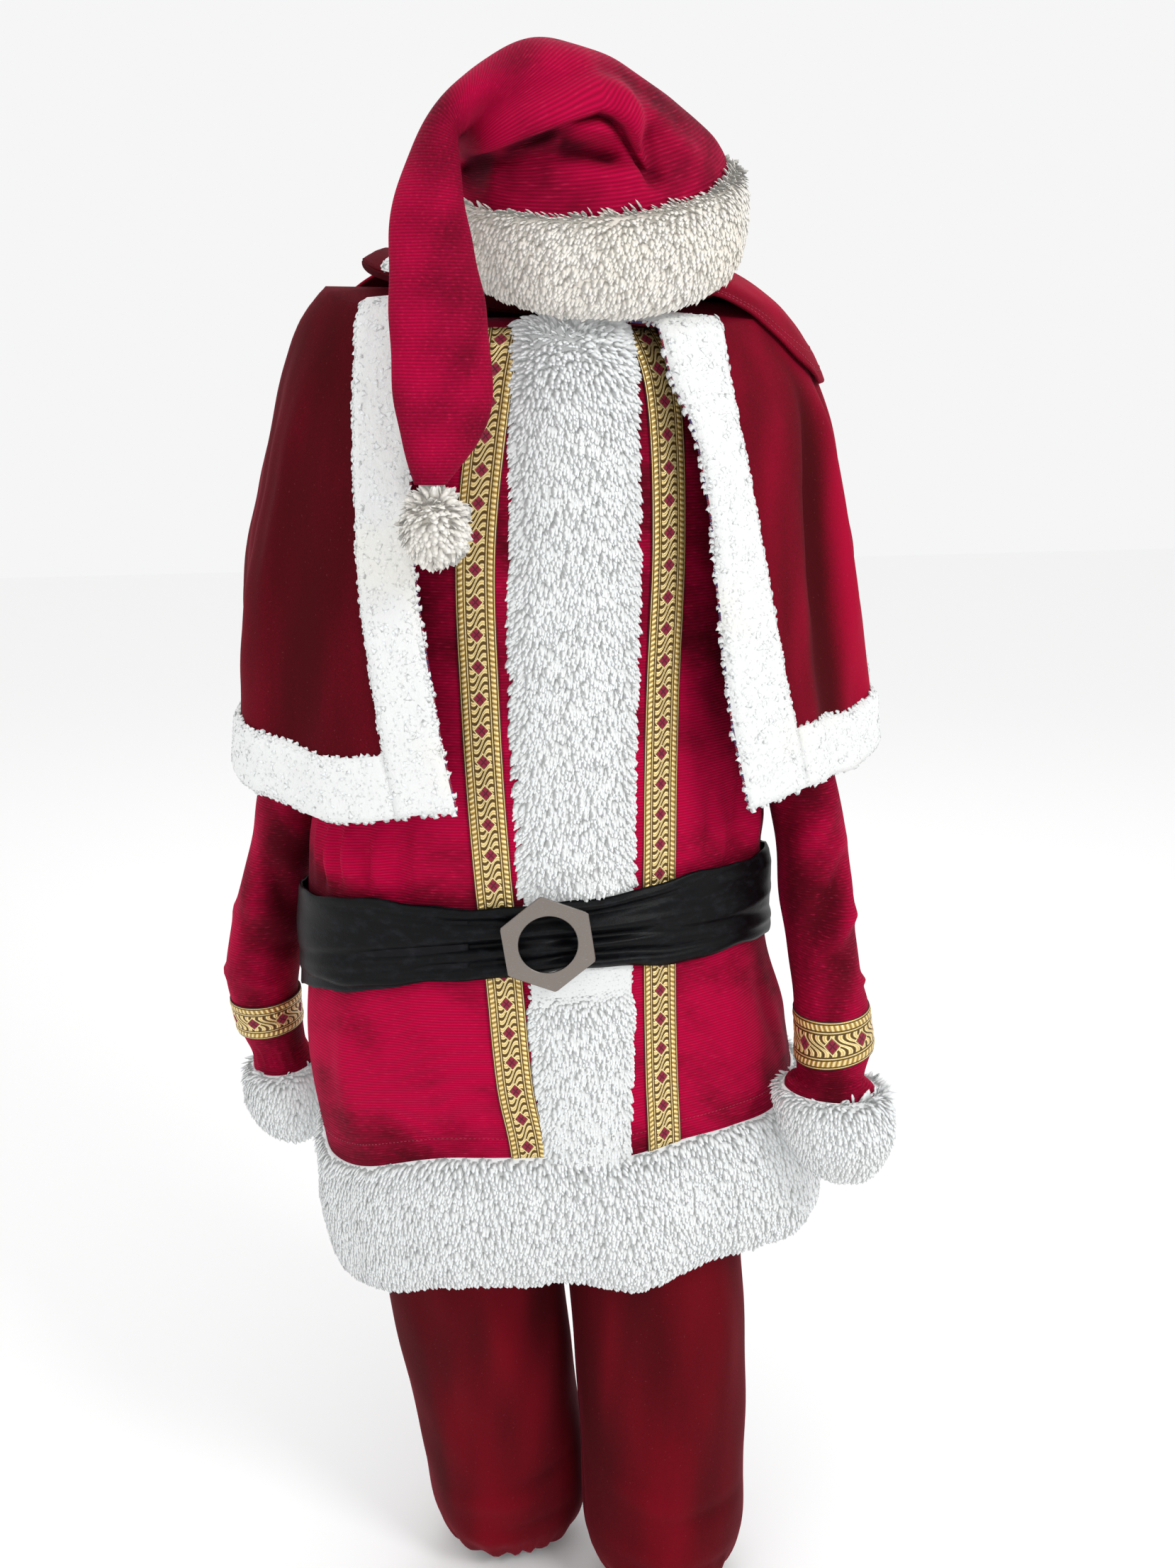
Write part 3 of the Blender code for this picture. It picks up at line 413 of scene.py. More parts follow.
def mesh_object(name: str, points: Array, faces: Array, uvs: Array | None = None) -> Thing:
    """Make an object of one mesh of equal faces.

    Args:
        name: The piece's name.
        points: Its points.
        faces: Point numbers, one row for each face.
        uvs: A UV pair for each corner of each face.

    Returns:
        The new object, linked to the scene.
    """
    sides = faces.shape[1]
    mesh = bpy.data.meshes.new(name)
    mesh.vertices.add(len(points))
    mesh.vertices.foreach_set("co", np.ascontiguousarray(points, dtype=np.float32).ravel())
    mesh.loops.add(faces.size)
    mesh.loops.foreach_set("vertex_index", np.ascontiguousarray(faces, dtype=np.int32).ravel())
    mesh.polygons.add(len(faces))
    mesh.polygons.foreach_set("loop_start", np.arange(0, faces.size, sides, dtype=np.int32))
    if uvs is not None:
        mesh.uv_layers.new(name="UVMap").data.foreach_set("uv", np.ascontiguousarray(uvs, dtype=np.float32).ravel())
    mesh.update(calc_edges=True)
    mesh.validate()
    mesh.shade_smooth()
    return placed(name, mesh)


class Form:
    """A surface read at an angle and a row; each kind of garment has its own."""

    def at(self, angle: Array, row: Array) -> Array:
        """Read the surface's points at angles and fractional rows."""
        raise NotImplementedError

    def lay(self, rows: Array, angles: Array, closed: bool = False, flip: bool = False) -> Cloth:
        """Lay a sheet on the form: a row number for each line of points, and angles for all rows or each."""
        row = np.broadcast_to(np.asarray(rows, dtype=float)[:, None], (len(rows), np.shape(angles)[-1]))
        return self.grid(row, np.broadcast_to(angles, row.shape), closed, flip)

    def grid(self, row: Array, angle: Array, closed: bool = False, flip: bool = False) -> Cloth:
        """Lay a sheet whose every point has its own row and angle."""
        across = self.at(angle + SLOPE_STEP, row) - self.at(angle - SLOPE_STEP, row)
        down = self.at(angle, row + SLOPE_STEP) - self.at(angle, row - SLOPE_STEP)
        normal = np.cross(down, across) * (-1.0 if flip else 1.0)
        normal /= np.maximum(np.linalg.norm(normal, axis=2, keepdims=True), 1e-12)
        return Cloth(self.at(angle, row), normal, closed)

    def angle_of_x(self, rows: Array, x: Array) -> Array:
        """Find the angle on the front of the form where each row crosses its x."""
        low, high = np.full(len(rows), -1.5), np.full(len(rows), 1.5)
        for _ in range(32):
            middle = (low + high) / 2.0
            short = self.at(middle, rows)[..., 0] < x
            low, high = np.where(short, middle, low), np.where(short, high, middle)
        return (low + high) / 2.0


# ---- node graphs
Colour = tuple[float, float, float]


class Port:
    """One output of a node; arithmetic on it adds the Math nodes it needs."""

    def __init__(self, graph: "Graph", socket: bpy.types.NodeSocket) -> None:
        """Keep the socket and the graph that it belongs to."""
        self.graph = graph
        self.socket = socket

    def math(self, operation: str, *others: "Port | float") -> "Port":
        """Add a Math node whose first value is this port."""
        return self.graph.math(operation, self, *others)

    def __add__(self, other: "Port | float") -> "Port":
        """Add."""
        return self.math("ADD", other)

    def __sub__(self, other: "Port | float") -> "Port":
        """Take away."""
        return self.math("SUBTRACT", other)

    def __rsub__(self, other: float) -> "Port":
        """Take this away from a number."""
        return self.graph.math("SUBTRACT", other, self)

    def __mul__(self, other: "Port | float") -> "Port":
        """Multiply."""
        return self.math("MULTIPLY", other)

    def __truediv__(self, other: "Port | float") -> "Port":
        """Divide."""
        return self.math("DIVIDE", other)

    def __rtruediv__(self, other: float) -> "Port":
        """Divide a number by this."""
        return self.graph.math("DIVIDE", other, self)

    __radd__ = __add__
    __rmul__ = __mul__

    def size(self) -> "Port":
        """The value without its sign."""
        return self.math("ABSOLUTE")

    def wave(self, length: float) -> "Port":
        """A wave of 0 to 1 along this value, one every length."""
        return (self * (2.0 * math.pi / length)).math("SINE") * 0.5 + 0.5

    def within(self, length: float) -> "Port":
        """The distance from the nearest whole multiple of a length, from 0 to half of it."""
        return (self / length).math("PINGPONG", 0.5) * length

    def past(self, low: float, high: float) -> "Port":
        """Ease from 0 at low to 1 at high."""
        return self.graph.node("ShaderNodeMapRange", {"interpolation_type": "SMOOTHSTEP"},
                               {"Value": self, "From Min": low, "From Max": high})

    def out(self, name: str) -> "Port":
        """Another output of the same node."""
        return Port(self.graph, self.socket.node.outputs[name])


class Graph:
    """Adds nodes to a material's or a Geometry Nodes tree."""

    def __init__(self, tree: bpy.types.NodeTree) -> None:
        """Keep the tree."""
        self.tree = tree

    def node(self, kind: str, settings: dict | None = None, inputs: dict | None = None,
             output: int | str = 0) -> Port:
        """Add a node.

        Args:
            kind: The node's type.
            settings: Its own settings.
            inputs: Values or ports for its sockets, by name or number.
            output: The socket that the port stands for.

        Returns:
            The port.
        """
        made = self.tree.nodes.new(kind)
        for key, value in (settings or {}).items():
            setattr(made, key, value)
        for key, value in (inputs or {}).items():
            if isinstance(value, Port):
                self.tree.links.new(value.socket, made.inputs[key])
            else:
                made.inputs[key].default_value = value
        return Port(self, made.outputs[output])

    def math(self, operation: str, *values: "Port | float") -> Port:
        """Add a Math node."""
        return self.node("ShaderNodeMath", {"operation": operation}, dict(enumerate(values)))

    def vector(self, operation: str, *values: "Port | tuple", output: int | str = 0) -> Port:
        """Add a Vector Math node."""
        return self.node("ShaderNodeVectorMath", {"operation": operation}, dict(enumerate(values)), output)

    def scaled(self, vector: Port, amount: "Port | float") -> Port:
        """Scale a vector."""
        return self.node("ShaderNodeVectorMath", {"operation": "SCALE"}, {0: vector, "Scale": amount})

    def mix(self, factor: "Port | float", a: "Port | Colour", b: "Port | Colour") -> Port:
        """Mix two colours."""
        fixed = [value if isinstance(value, Port) else (*value, 1.0) for value in (a, b)]
        return self.node("ShaderNodeMix", {"data_type": "RGBA"}, {0: factor, 6: fixed[0], 7: fixed[1]}, 2)

    def noise(self, place: Port, scale: float, detail: float = 3.0, rough: float = 0.55) -> Port:
        """Noise of about 0.3 to 0.7 at a place."""
        return self.node("ShaderNodeTexNoise", {}, {"Vector": place, "Scale": scale, "Detail": detail,
                                                    "Roughness": rough})

    def attribute(self, name: str, output: str = "Fac") -> Port:
        """Read a named attribute of the piece."""
        return self.node("ShaderNodeAttribute", {"attribute_name": name}, output=output)

    def stretched(self, place: Port, by: tuple[float, float, float]) -> Port:
        """Scale a place by three numbers."""
        return self.vector("MULTIPLY", place, by)


# ---- finishes
UPRIGHT = (1.0, 1.0, 0.3)      # draws the painted sheen patches out up and down the cloth
FINISHED: dict[str, bpy.types.Material] = {}


@dataclass(frozen=True)
class Finish:
    """A procedural material; each kind paints its own nodes."""

    name: str

    def made(self) -> bpy.types.Material:
        """Make the material once, and return it."""
        if self.name in FINISHED:
            return FINISHED[self.name]
        material = bpy.data.materials.new("suit_" + self.name)
        FINISHED[self.name] = material
        material.use_nodes = True
        graph = Graph(material.node_tree)
        shader = material.node_tree.nodes["Principled BSDF"]
        self.paint(graph, shader)
        return material

    def paint(self, graph: Graph, shader: Shader) -> None:
        """Add the nodes."""
        raise NotImplementedError

    @staticmethod
    def feed(graph: Graph, shader: Shader, colour: Port | None = None, rough: Port | None = None,
             height: Port | None = None, distance: float = 0.001, metal: Port | None = None,
             facing_way: Port | None = None, painted_glow: Port | None = None, **fixed: float) -> None:
        """Link what varies to the shader, and set its other sockets.

        Args:
            graph: The material's graph.
            shader: The Principled shader.
            colour: Base colour.
            rough: Roughness.
            height: Height for the bump, in units of distance.
            distance: The bump's height in metres.
            metal: Metallic.
            facing_way: The normal that the bump starts from.
            painted_glow: Emission Color, painted light that stands in for the light that pale fur scatters among its
                own fibres.
            **fixed: Values of the shader's sockets, spaces written as underscores.
        """
        for socket, port in (("Base Color", colour), ("Roughness", rough), ("Metallic", metal),
                             ("Emission Color", painted_glow)):
            if port is not None:
                graph.tree.links.new(port.socket, shader.inputs[socket])
        if height is not None:
            inputs = {"Height": height, "Distance": distance, "Strength": 1.0}
            if facing_way is not None:
                inputs["Normal"] = facing_way
            bump = graph.node("ShaderNodeBump", {}, inputs)
            graph.tree.links.new(bump.socket, shader.inputs["Normal"])
        for key, value in fixed.items():
            shader.inputs[key.replace("_", " ")].default_value = value


def uv_of(graph: Graph) -> tuple[Port, Port]:
    """The piece's own UV place, u across and v down, in metres."""
    place = graph.node("ShaderNodeUVMap", {"uv_map": "UVMap"})
    split = graph.node("ShaderNodeSeparateXYZ", {}, {0: place})
    return split, split.out("Y")


def place_in(graph: Graph) -> Port:
    """The place in the piece's own space."""
    return graph.node("ShaderNodeTexCoord", output="Object")


@dataclass(frozen=True)
class RibbedVelour(Finish):
    """Brushed cloth with fine ribs across it."""

    # lit and deep are a lit and a shaded copy of one dye, mixed by painted light and shade
    lit: Colour
    deep: Colour
    rib: float = 0.0026
    relief: float = 0.00035

    def paint(self, graph: Graph, shader: Shader) -> None:
        """Ribs, painted light and shade read from the piece's points, painted sheen patches, thread tones, painted
        shade in the rib grooves and paler threads, partly a painted highlight.
        """
        place = place_in(graph)
        u, v = uv_of(graph)
        wander = graph.noise(place, 22.0, 2.0)
        wave = (v + (wander - 0.5) * 0.0016).wave(self.rib)
        spot = graph.node("ShaderNodeCombineXYZ", {}, {0: u * 130.0, 1: v * (1.0 / self.rib)})
        thread = graph.noise(spot, 1.0, 2.0)
        patch = graph.noise(place, 9.0, 3.0, 0.5)
        # stand: the piece's painted light and shade, read from its points
        stand = graph.attribute("painted_light")
        # painted light and shade, painted sheen patches and random thread tone mix the deep colour towards the lit one
        painted_light = (stand + (patch - 0.5) * 0.9 + (thread - 0.5) * 0.5).past(0.0, 1.0)
        colour = graph.mix(painted_light, self.deep, self.lit)
        # painted shade in the grooves between the ribs
        colour = graph.mix((1.0 - wave) * 0.42, colour, tuple(c * 0.55 for c in self.deep))
        # paler threads at random, leaning to the rib crests: random thread wear and a painted sheen highlight
        wear_and_sheen = graph.mix(((thread + wave * 0.12).past(0.66, 0.84)) * 0.16, colour, (0.62, 0.04, 0.11))
        self.feed(graph, shader, wear_and_sheen, patch * 0.2 + 0.76, wave * 0.75 + thread * 0.5, self.relief,
                  Sheen_Weight=0.12, Sheen_Roughness=0.4, Sheen_Tint=(0.95, 0.1, 0.25, 1.0),
                  Specular_IOR_Level=0.08)


def strokes_of_wear(graph: Graph, place: Port, spots: tuple) -> Port:
    """Small worn spots where the pile has rubbed away.

    Args:
        graph: The material's graph.
        place: The place in the piece's space.
        spots: Their x, y, z and radius.

    Returns:
        From 0 to 1, and 1 where the pile is gone.
    """
    total = None
    ragged = graph.noise(place, 160.0, 2.0) - 0.5
    for x, y, z, radius in spots:
        away = graph.vector("DISTANCE", graph.stretched(place, (1.0, 0.6, 1.5)), (x, y * 0.6, z * 1.5),
                            output="Value")
        spot = 1.0 - (away + ragged * radius * 1.6).past(radius * 0.4, radius)
        total = spot if total is None else total.math("MAXIMUM", spot)
    return total


@dataclass(frozen=True)
class Velvet(Finish):
    """Short-napped velvet with brushed streaks."""

    # lit and deep are a lit and a shaded copy of one dye, mixed by painted light and shade
    lit: Colour
    deep: Colour
    sheen: Colour = (0.8, 0.08, 0.14)
    wear_and_sheen: tuple = ()

    def paint(self, graph: Graph, shader: Shader) -> None:
        """Painted light and shade read from the piece's points, painted sheen patches where the pile lies over, and the
        pile's own grain.
        """
        place = place_in(graph)
        patch = graph.noise(graph.stretched(place, (1.0, 1.0, 0.18)), 14.0, 4.0, 0.5)
        grain = graph.noise(place, 900.0, 2.0, 0.7)
        # stand: the piece's painted light and shade, read from its points
        stand = graph.attribute("painted_light")
        colour = graph.mix((stand + (patch - 0.5) * 0.75 + (grain - 0.5) * 0.5).past(0.0, 1.0), self.deep, self.lit)
        lint = graph.noise(place, 420.0, 1.0).past(0.7, 0.8)
        colour = graph.mix(lint * 0.12, colour, (0.45, 0.1, 0.12))
        # the rubbed spots are real wear where the pile has rubbed away
        if self.wear_and_sheen:
            spots = strokes_of_wear(graph, place, self.wear_and_sheen)
            colour = graph.mix(spots, colour, (0.62, 0.02, 0.12))
        self.feed(graph, shader, colour, patch * 0.15 + 0.74, grain * 0.5 + patch * 0.8, 0.0005,
                  Sheen_Weight=0.22, Sheen_Roughness=0.34, Sheen_Tint=(*self.sheen, 1.0), Specular_IOR_Level=0.08)


@dataclass(frozen=True)
class Plush(Finish):
    """Long synthetic fur: locks painted greyer at their roots as shade deep in the pile, with stains and painted
    emission that lifts their shade.
    """

    # tip is the locks' own colour; root is a greyer copy, painted shade deep in the pile, used at the roots and on the
    # backing
    tip: Colour
    root: Colour
    stain: Colour = (0.72, 0.6, 0.38)
    stained: float = 0.0
    stain_scale: float = 9.0
    tufted: float = 0.0012        # height of its fine tufts
    soft: float = 0.88            # how far the locks are shaded as the ground that they stand on

    def paint(self, graph: Graph, shader: Shader) -> None:
        """Painted shade from root to tip, lock by lock tones, soft stains, the fibres' fine streaks and painted
        emission that lifts the shade.
        """
        place = place_in(graph)
        up = graph.attribute("up")
        tone = graph.attribute("tone")
        # painted shade: greyer towards the locks' roots, and on the backing, which has no up, all root colour
        colour = graph.mix(up.past(0.25, 0.8), self.root, self.tip)
        colour = graph.mix(tone * 0.3, colour, self.root)
        spots = graph.noise(place, self.stain_scale, 3.0).past(0.52, 0.74)
        colour = graph.mix(spots * self.stained, colour, self.stain)
        ground = graph.attribute("ground", "Vector")
        own = graph.node("ShaderNodeNewGeometry", output="Normal")
        soft = graph.vector("ADD", graph.scaled(own, 1.0 - self.soft), graph.scaled(ground, self.soft))
        soft = graph.vector("NORMALIZE", soft)
        tufts = graph.noise(graph.stretched(place, (1.0, 1.0, 0.45)), 260.0, 3.0, 0.6)
        lumps = graph.noise(place, 60.0, 2.0)
        # painted emission in the fur's own colour, strength 0.3, lifts its shade
        self.feed(graph, shader, colour, None, tufts * 0.6 + lumps * 1.4, self.tufted, facing_way=soft,
                  painted_glow=colour, Emission_Strength=0.3, Roughness=0.9, Sheen_Weight=0.15, Sheen_Roughness=0.5,
                  Specular_IOR_Level=0.05)


@dataclass(frozen=True)
class GoldBraid(Finish):
    """Woven gold braid: a beaded rope down each edge, and strands twisting between crimson diamonds."""

    width: float = 0.033
    repeat: float = 0.0277
    band: float = 0.015          # the twisting strands' width
    strand: float = 0.0069        # from strand to strand
    slope: float = 0.95
    swing: float = 0.0034
    rope: float = 0.0122          # from the braid's middle to its rope's
    bead: float = 0.0046
    petal_wide: float = 0.0054
    petal_tall: float = 0.0062
    gold: Colour = (0.66, 0.43, 0.12)
    # the next two colours are a painted highlight for the crests and a painted shade for the hollows
    crest_highlight: Colour = (0.92, 0.78, 0.42)
    hollow_shade: Colour = (0.1, 0.055, 0.015)
    crimson: Colour = (0.3, 0.006, 0.04)

    def paint(self, graph: Graph, shader: Shader) -> None:
        """The braid's figure in the piece's own UV, the same as its relief's, with painted shade in its hollows and
        painted highlights on its crests.
        """
        u, v = uv_of(graph)
        across = u - self.width / 2.0
        side = across.size()
        swing = (across * (2.0 * math.pi / self.band)).math("SINE") * self.swing
        along = v - across * self.slope - swing
        strand = along.wave(self.strand).past(0.05, 0.45) * (along.wave(self.strand / 3.0) * 0.3 + 0.7)
        off = (v + self.repeat / 2.0).within(self.repeat)
        reach = side / self.petal_wide + off / self.petal_tall
        diamond = 1.0 - reach.past(0.9, 1.0)
        ring = 1.0 - (reach - 1.17).size().past(0.07, 0.2)
        groove = 1.0 - (reach - 1.03).size().past(0.02, 0.07)
        petal = (1.0 - (side / self.petal_wide - off / self.petal_tall).size().past(0.05, 0.17)) * diamond
        rope = 1.0 - ((side - self.rope) / 0.0024).size().past(0.72, 1.0)
        bead = (v + side * 0.35).wave(self.bead) * 0.72 + 0.28
        cord = 1.0 - (side - (self.rope - 0.0034)).size().past(0.0003, 0.0007)
        lip = 1.0 - (side - (self.rope + 0.0033)).size().past(0.0003, 0.0007)
        edge = side.past(self.width / 2.0 - 0.001, self.width / 2.0 - 0.0004)
        inside = 1.0 - side.past(self.band / 2.0 - 0.0003, self.band / 2.0)
        height = (strand * inside).math("MAXIMUM", rope * bead).math("MAXIMUM", cord * 0.85)
        height = height.math("MAXIMUM", lip * 0.8).math("MAXIMUM", ring * 0.95 * inside)
        height = height * (1.0 - groove * 0.8) * (1.0 - diamond) + diamond * (0.62 - petal * 0.5)
        fine = graph.noise(graph.node("ShaderNodeCombineXYZ", {}, {0: u * 1300.0, 1: v * 1300.0}), 1.0, 2.0)
        # painted shade where the relief is low and painted highlights where it is high
        colour = graph.mix(height.past(0.1, 0.62), self.hollow_shade, self.gold)
        colour = graph.mix((height * 0.9 + fine * 0.5).past(0.8, 1.2), colour, self.crest_highlight)
        colour = graph.mix(diamond, colour, graph.mix(fine.past(0.3, 0.7), tuple(c * 0.6 for c in self.crimson),
                                                      self.crimson))
        colour = graph.mix(petal * 0.85, colour, tuple(c * 0.22 for c in self.crimson))
        colour = graph.mix(edge, colour, (0.04, 0.02, 0.012))
        cloth = diamond.math("MAXIMUM", edge)
        self.feed(graph, shader, colour, cloth * 0.4 + (0.46 - fine * 0.16), height + fine * 0.25, 0.0009,
                  metal=(1.0 - cloth) * 0.55)

    def relief(self, u: Array, v: Array) -> Array:
        """The braid's height in metres above its cloth, u across it and v along it."""
        across = u - self.width / 2.0
        side = np.abs(across)
        swing = np.sin(across * 2.0 * math.pi / self.band) * self.swing
        strand = np.sin((v - across * self.slope - swing) * 2.0 * math.pi / self.strand)
        rope = hill(side - self.rope, 0.0034)
        bead = np.sin((v + side * 0.35) * 2.0 * math.pi / self.bead)
        off = np.abs((v + self.repeat / 2.0) / self.repeat % 1.0 - 0.5)
        off = (0.5 - off) * self.repeat
        diamond = 1.0 - smooth(side / self.petal_wide + off / self.petal_tall, 0.86, 1.04)
        inside = 1.0 - smooth(side, self.band / 2.0 - 0.0006, self.band / 2.0 + 0.0006)
        height = strand * inside * 0.00032 + rope * (0.0006 + bead * 0.00018)
        return height * (1.0 - diamond) - 0.0002 * diamond


@dataclass(frozen=True)
class SoftLeather(Finish):
    """Thin black leather with a fine grain and rubbed creases."""

    black: Colour = (0.0016, 0.0018, 0.0024)
    rubbed: Colour = (0.0075, 0.0085, 0.011)

    def paint(self, graph: Graph, shader: Shader) -> None:
        """Grain cells, fine creases and dull patches."""
        place = place_in(graph)
        cells = graph.node("ShaderNodeTexVoronoi", {}, {"Vector": place, "Scale": 700.0})
        streak = graph.noise(graph.stretched(place, (1.0, 1.0, 2.2)), 70.0, 4.0, 0.6)
        patch = graph.noise(place, 24.0, 3.0)
        colour = graph.mix((streak + cells * 0.1).past(0.52, 0.8), self.black, self.rubbed)
        rough = patch * 0.2 + 0.28 + streak * 0.1
        self.feed(graph, shader, colour, rough, cells * 0.3 + streak * 1.1, 0.00028, Specular_IOR_Level=0.12)


@dataclass(frozen=True)
class WornNickel(Finish):
    """Dull nickel plate with light scratches."""

    metal: Colour = (0.235, 0.205, 0.185)

    def paint(self, graph: Graph, shader: Shader) -> None:
        """Scratches one way, pits, and hazy patches."""
        place = place_in(graph)
        haze = graph.noise(place, 90.0, 3.0)
        scratch = graph.noise(graph.stretched(place, (1.0, 1.0, 9.0)), 420.0, 2.0).past(0.66, 0.74)
        pits = graph.noise(place, 1100.0, 1.0).past(0.68, 0.76)
        colour = graph.mix(scratch * 0.5, self.metal, (0.62, 0.58, 0.54))
        colour = graph.mix(pits * 0.4, colour, (0.12, 0.1, 0.09))
        self.feed(graph, shader, colour, haze * 0.22 + 0.2 + scratch * 0.15, scratch + pits, 0.00006, Metallic=1.0)


@dataclass(frozen=True)
class Thread(Finish):
    """Sewing thread, with a twist."""

    colour: Colour
    other: Colour

    def paint(self, graph: Graph, shader: Shader) -> None:
        """Tones that change from stitch to stitch."""
        place = place_in(graph)
        tone = graph.noise(place, 260.0, 1.0).past(0.42, 0.58)
        colour = graph.mix(tone, self.colour, self.other)
        fine = graph.noise(place, 3000.0, 1.0)
        self.feed(graph, shader, colour, fine * 0.1 + 0.6, fine, 0.0001, Sheen_Weight=0.2)


@dataclass(frozen=True)
class PaleFloor(Finish):
    """The plain floor."""

    def paint(self, graph: Graph, shader: Shader) -> None:
        """One plain pale colour."""
        self.feed(graph, shader, Base_Color=(0.97, 0.97, 0.97, 1.0), Roughness=0.9)


# Each velour and velvet has a lit and a deep colour, a lit and a shaded copy of one dye; each plush a tip colour and a
# greyer root colour, painted shade deep in the pile
CORD = RibbedVelour("crimson_ribbed_velour", (0.5, 0.0008, 0.048), (0.085, 0.0008, 0.007))
HAT_RIB = RibbedVelour("crimson_hat_rib", (0.46, 0.0008, 0.046), (0.06, 0.0008, 0.007), 0.0027, 0.0004)
CAPE_VELVET = Velvet("cape_velvet", (0.34, 0.001, 0.026), (0.055, 0.001, 0.003))
TROUSER_VELVET = Velvet("trouser_velvet", (0.17, 0.0018, 0.009), (0.046, 0.0014, 0.003),
                        wear_and_sheen=((-0.107, -0.05, -1.205, 0.008), (-0.098, -0.05, -1.248, 0.007)))
WHITE_PLUSH = Plush("white_plush", (0.73, 0.75, 0.755), (0.6, 0.61, 0.61), stained=0.03)
CREAM_PLUSH = Plush("cream_plush", (0.73, 0.71, 0.665), (0.6, 0.565, 0.51), stained=0.16)
SHERPA = Plush("sherpa_curls", (0.69, 0.705, 0.71), (0.62, 0.63, 0.625), (0.72, 0.63, 0.45), 0.25, 6.0, 0.0016, 0.9)
BRAID_GOLD = GoldBraid("gold_braid")
BELT_LEATHER = SoftLeather("black_leather")
BACKING_LEATHER = SoftLeather("leather_backing", (0.004, 0.004, 0.006), (0.012, 0.012, 0.016))
NICKEL = WornNickel("worn_nickel")
RED_THREAD = Thread("red_thread", (0.4, 0.004, 0.045), (0.26, 0.003, 0.03))
OVERLOCK = Thread("overlock_thread", (0.3, 0.03, 0.045), (0.035, 0.035, 0.16))
WIRE = WornNickel("black_wire", (0.05, 0.05, 0.055))
FLOOR = PaleFloor("pale_floor")


# ---- geometry trees
class Sowing:
    """A Geometry Nodes tree with named inputs, and the way to turn what it makes into a plain mesh."""

    def __init__(self, name: str) -> None:
        """Start the tree."""
        self.group = bpy.data.node_groups.new(name, "GeometryNodeTree")
        self.graph = Graph(self.group)
        self.group.interface.new_socket("Geometry", in_out="INPUT", socket_type="NodeSocketGeometry")
        self.group.interface.new_socket("Geometry", in_out="OUTPUT", socket_type="NodeSocketGeometry")
        self.source = self.group.nodes.new("NodeGroupInput")

    def take(self, name: str, kind: str, value: object = None) -> None:
        """Add a named input of kind Float, Int, Vector, Object or Material, and its value if it has one."""
        socket = self.group.interface.new_socket(name, in_out="INPUT", socket_type=f"NodeSocket{kind}")
        if value is not None:
            socket.default_value = value

    def given(self, name: str) -> Port:
        """The port of a named input."""
        return Port(self.graph, self.source.outputs[name])

    def end(self, geometry: Port, material: Port) -> None:
        """Realize the instances, give them their material, and close the tree."""
        real = self.graph.node("GeometryNodeRealizeInstances", {}, {0: geometry})
        soft = self.graph.node("GeometryNodeSetShadeSmooth", {}, {0: real})
        dressed = self.graph.node("GeometryNodeSetMaterial", {}, {"Geometry": soft, "Material": material})
        sink = self.group.nodes.new("NodeGroupOutput")
        self.group.links.new(dressed.socket, sink.inputs[0])

    def grow(self, name: str, carrier: Thing, **values: object) -> Thing:
        """Run the tree on an object, and keep the result as a plain mesh.

        Args:
            name: The new piece's name.
            carrier: The object that the tree reads; it is removed.
            **values: The tree's inputs, spaces written as underscores.

        Returns:
            The new piece.
        """
        modifier = carrier.modifiers.new("sowing", "NODES")
        modifier.node_group = self.group
        for item in self.group.interface.items_tree:
            key = item.name.replace(" ", "_")
            if item.in_out == "INPUT" and key in values:
                modifier[item.identifier] = values[key]
        carrier.update_tag()
        bpy.context.view_layer.update()
        depsgraph = bpy.context.evaluated_depsgraph_get()
        mesh = bpy.data.meshes.new_from_object(carrier.evaluated_get(depsgraph), preserve_all_data_layers=True,
                                               depsgraph=depsgraph)
        bpy.data.objects.remove(carrier, do_unlink=True)
        mesh.name = name
        piece = placed(name, mesh)
        return piece


def lock_mesh(name: str, sides: int, rings: tuple, flat: float, curl: float) -> Thing:
    """A lock of pile, one unit tall along +Z, that bends towards +X.

    Args:
        name: The lock's name.
        sides: Corners round it.
        rings: Pairs of height and radius, the last one its tip's height.
        flat: Its thickness as a share of its width.
        curl: How far its tip has bent over.

    Returns:
        The lock, linked to the scene until it has been used.
    """
    mesh = bpy.data.meshes.new(name)
    made = bmesh.new()
    up = made.verts.layers.float.new("up")
    loops = []
    for height, radius in rings[:-1]:
        loop = []
        for corner in range(sides):
            angle = 2.0 * math.pi * corner / sides + height
            x, y = math.cos(angle) * radius * flat, math.sin(angle) * radius
            vert = made.verts.new((x + curl * height**2, y, height * (1.0 - 0.25 * abs(curl) * height)))
            vert[up] = height
            loop.append(vert)
        loops.append(loop)
    tip_height = rings[-1][0]
    tip = made.verts.new((curl * tip_height**2, 0.0, tip_height * (1.0 - 0.25 * abs(curl) * tip_height)))
    tip[up] = 1.0
    made.faces.new(list(reversed(loops[0])))
    for low, high in zip(loops, loops[1:]):
        for corner in range(sides):
            after = (corner + 1) % sides
            made.faces.new((low[corner], low[after], high[after], high[corner]))
    for corner in range(sides):
        made.faces.new((loops[-1][corner], loops[-1][(corner + 1) % sides], tip))
    made.to_mesh(mesh)
    made.free()
    mesh.shade_smooth()
    return placed(name, mesh)


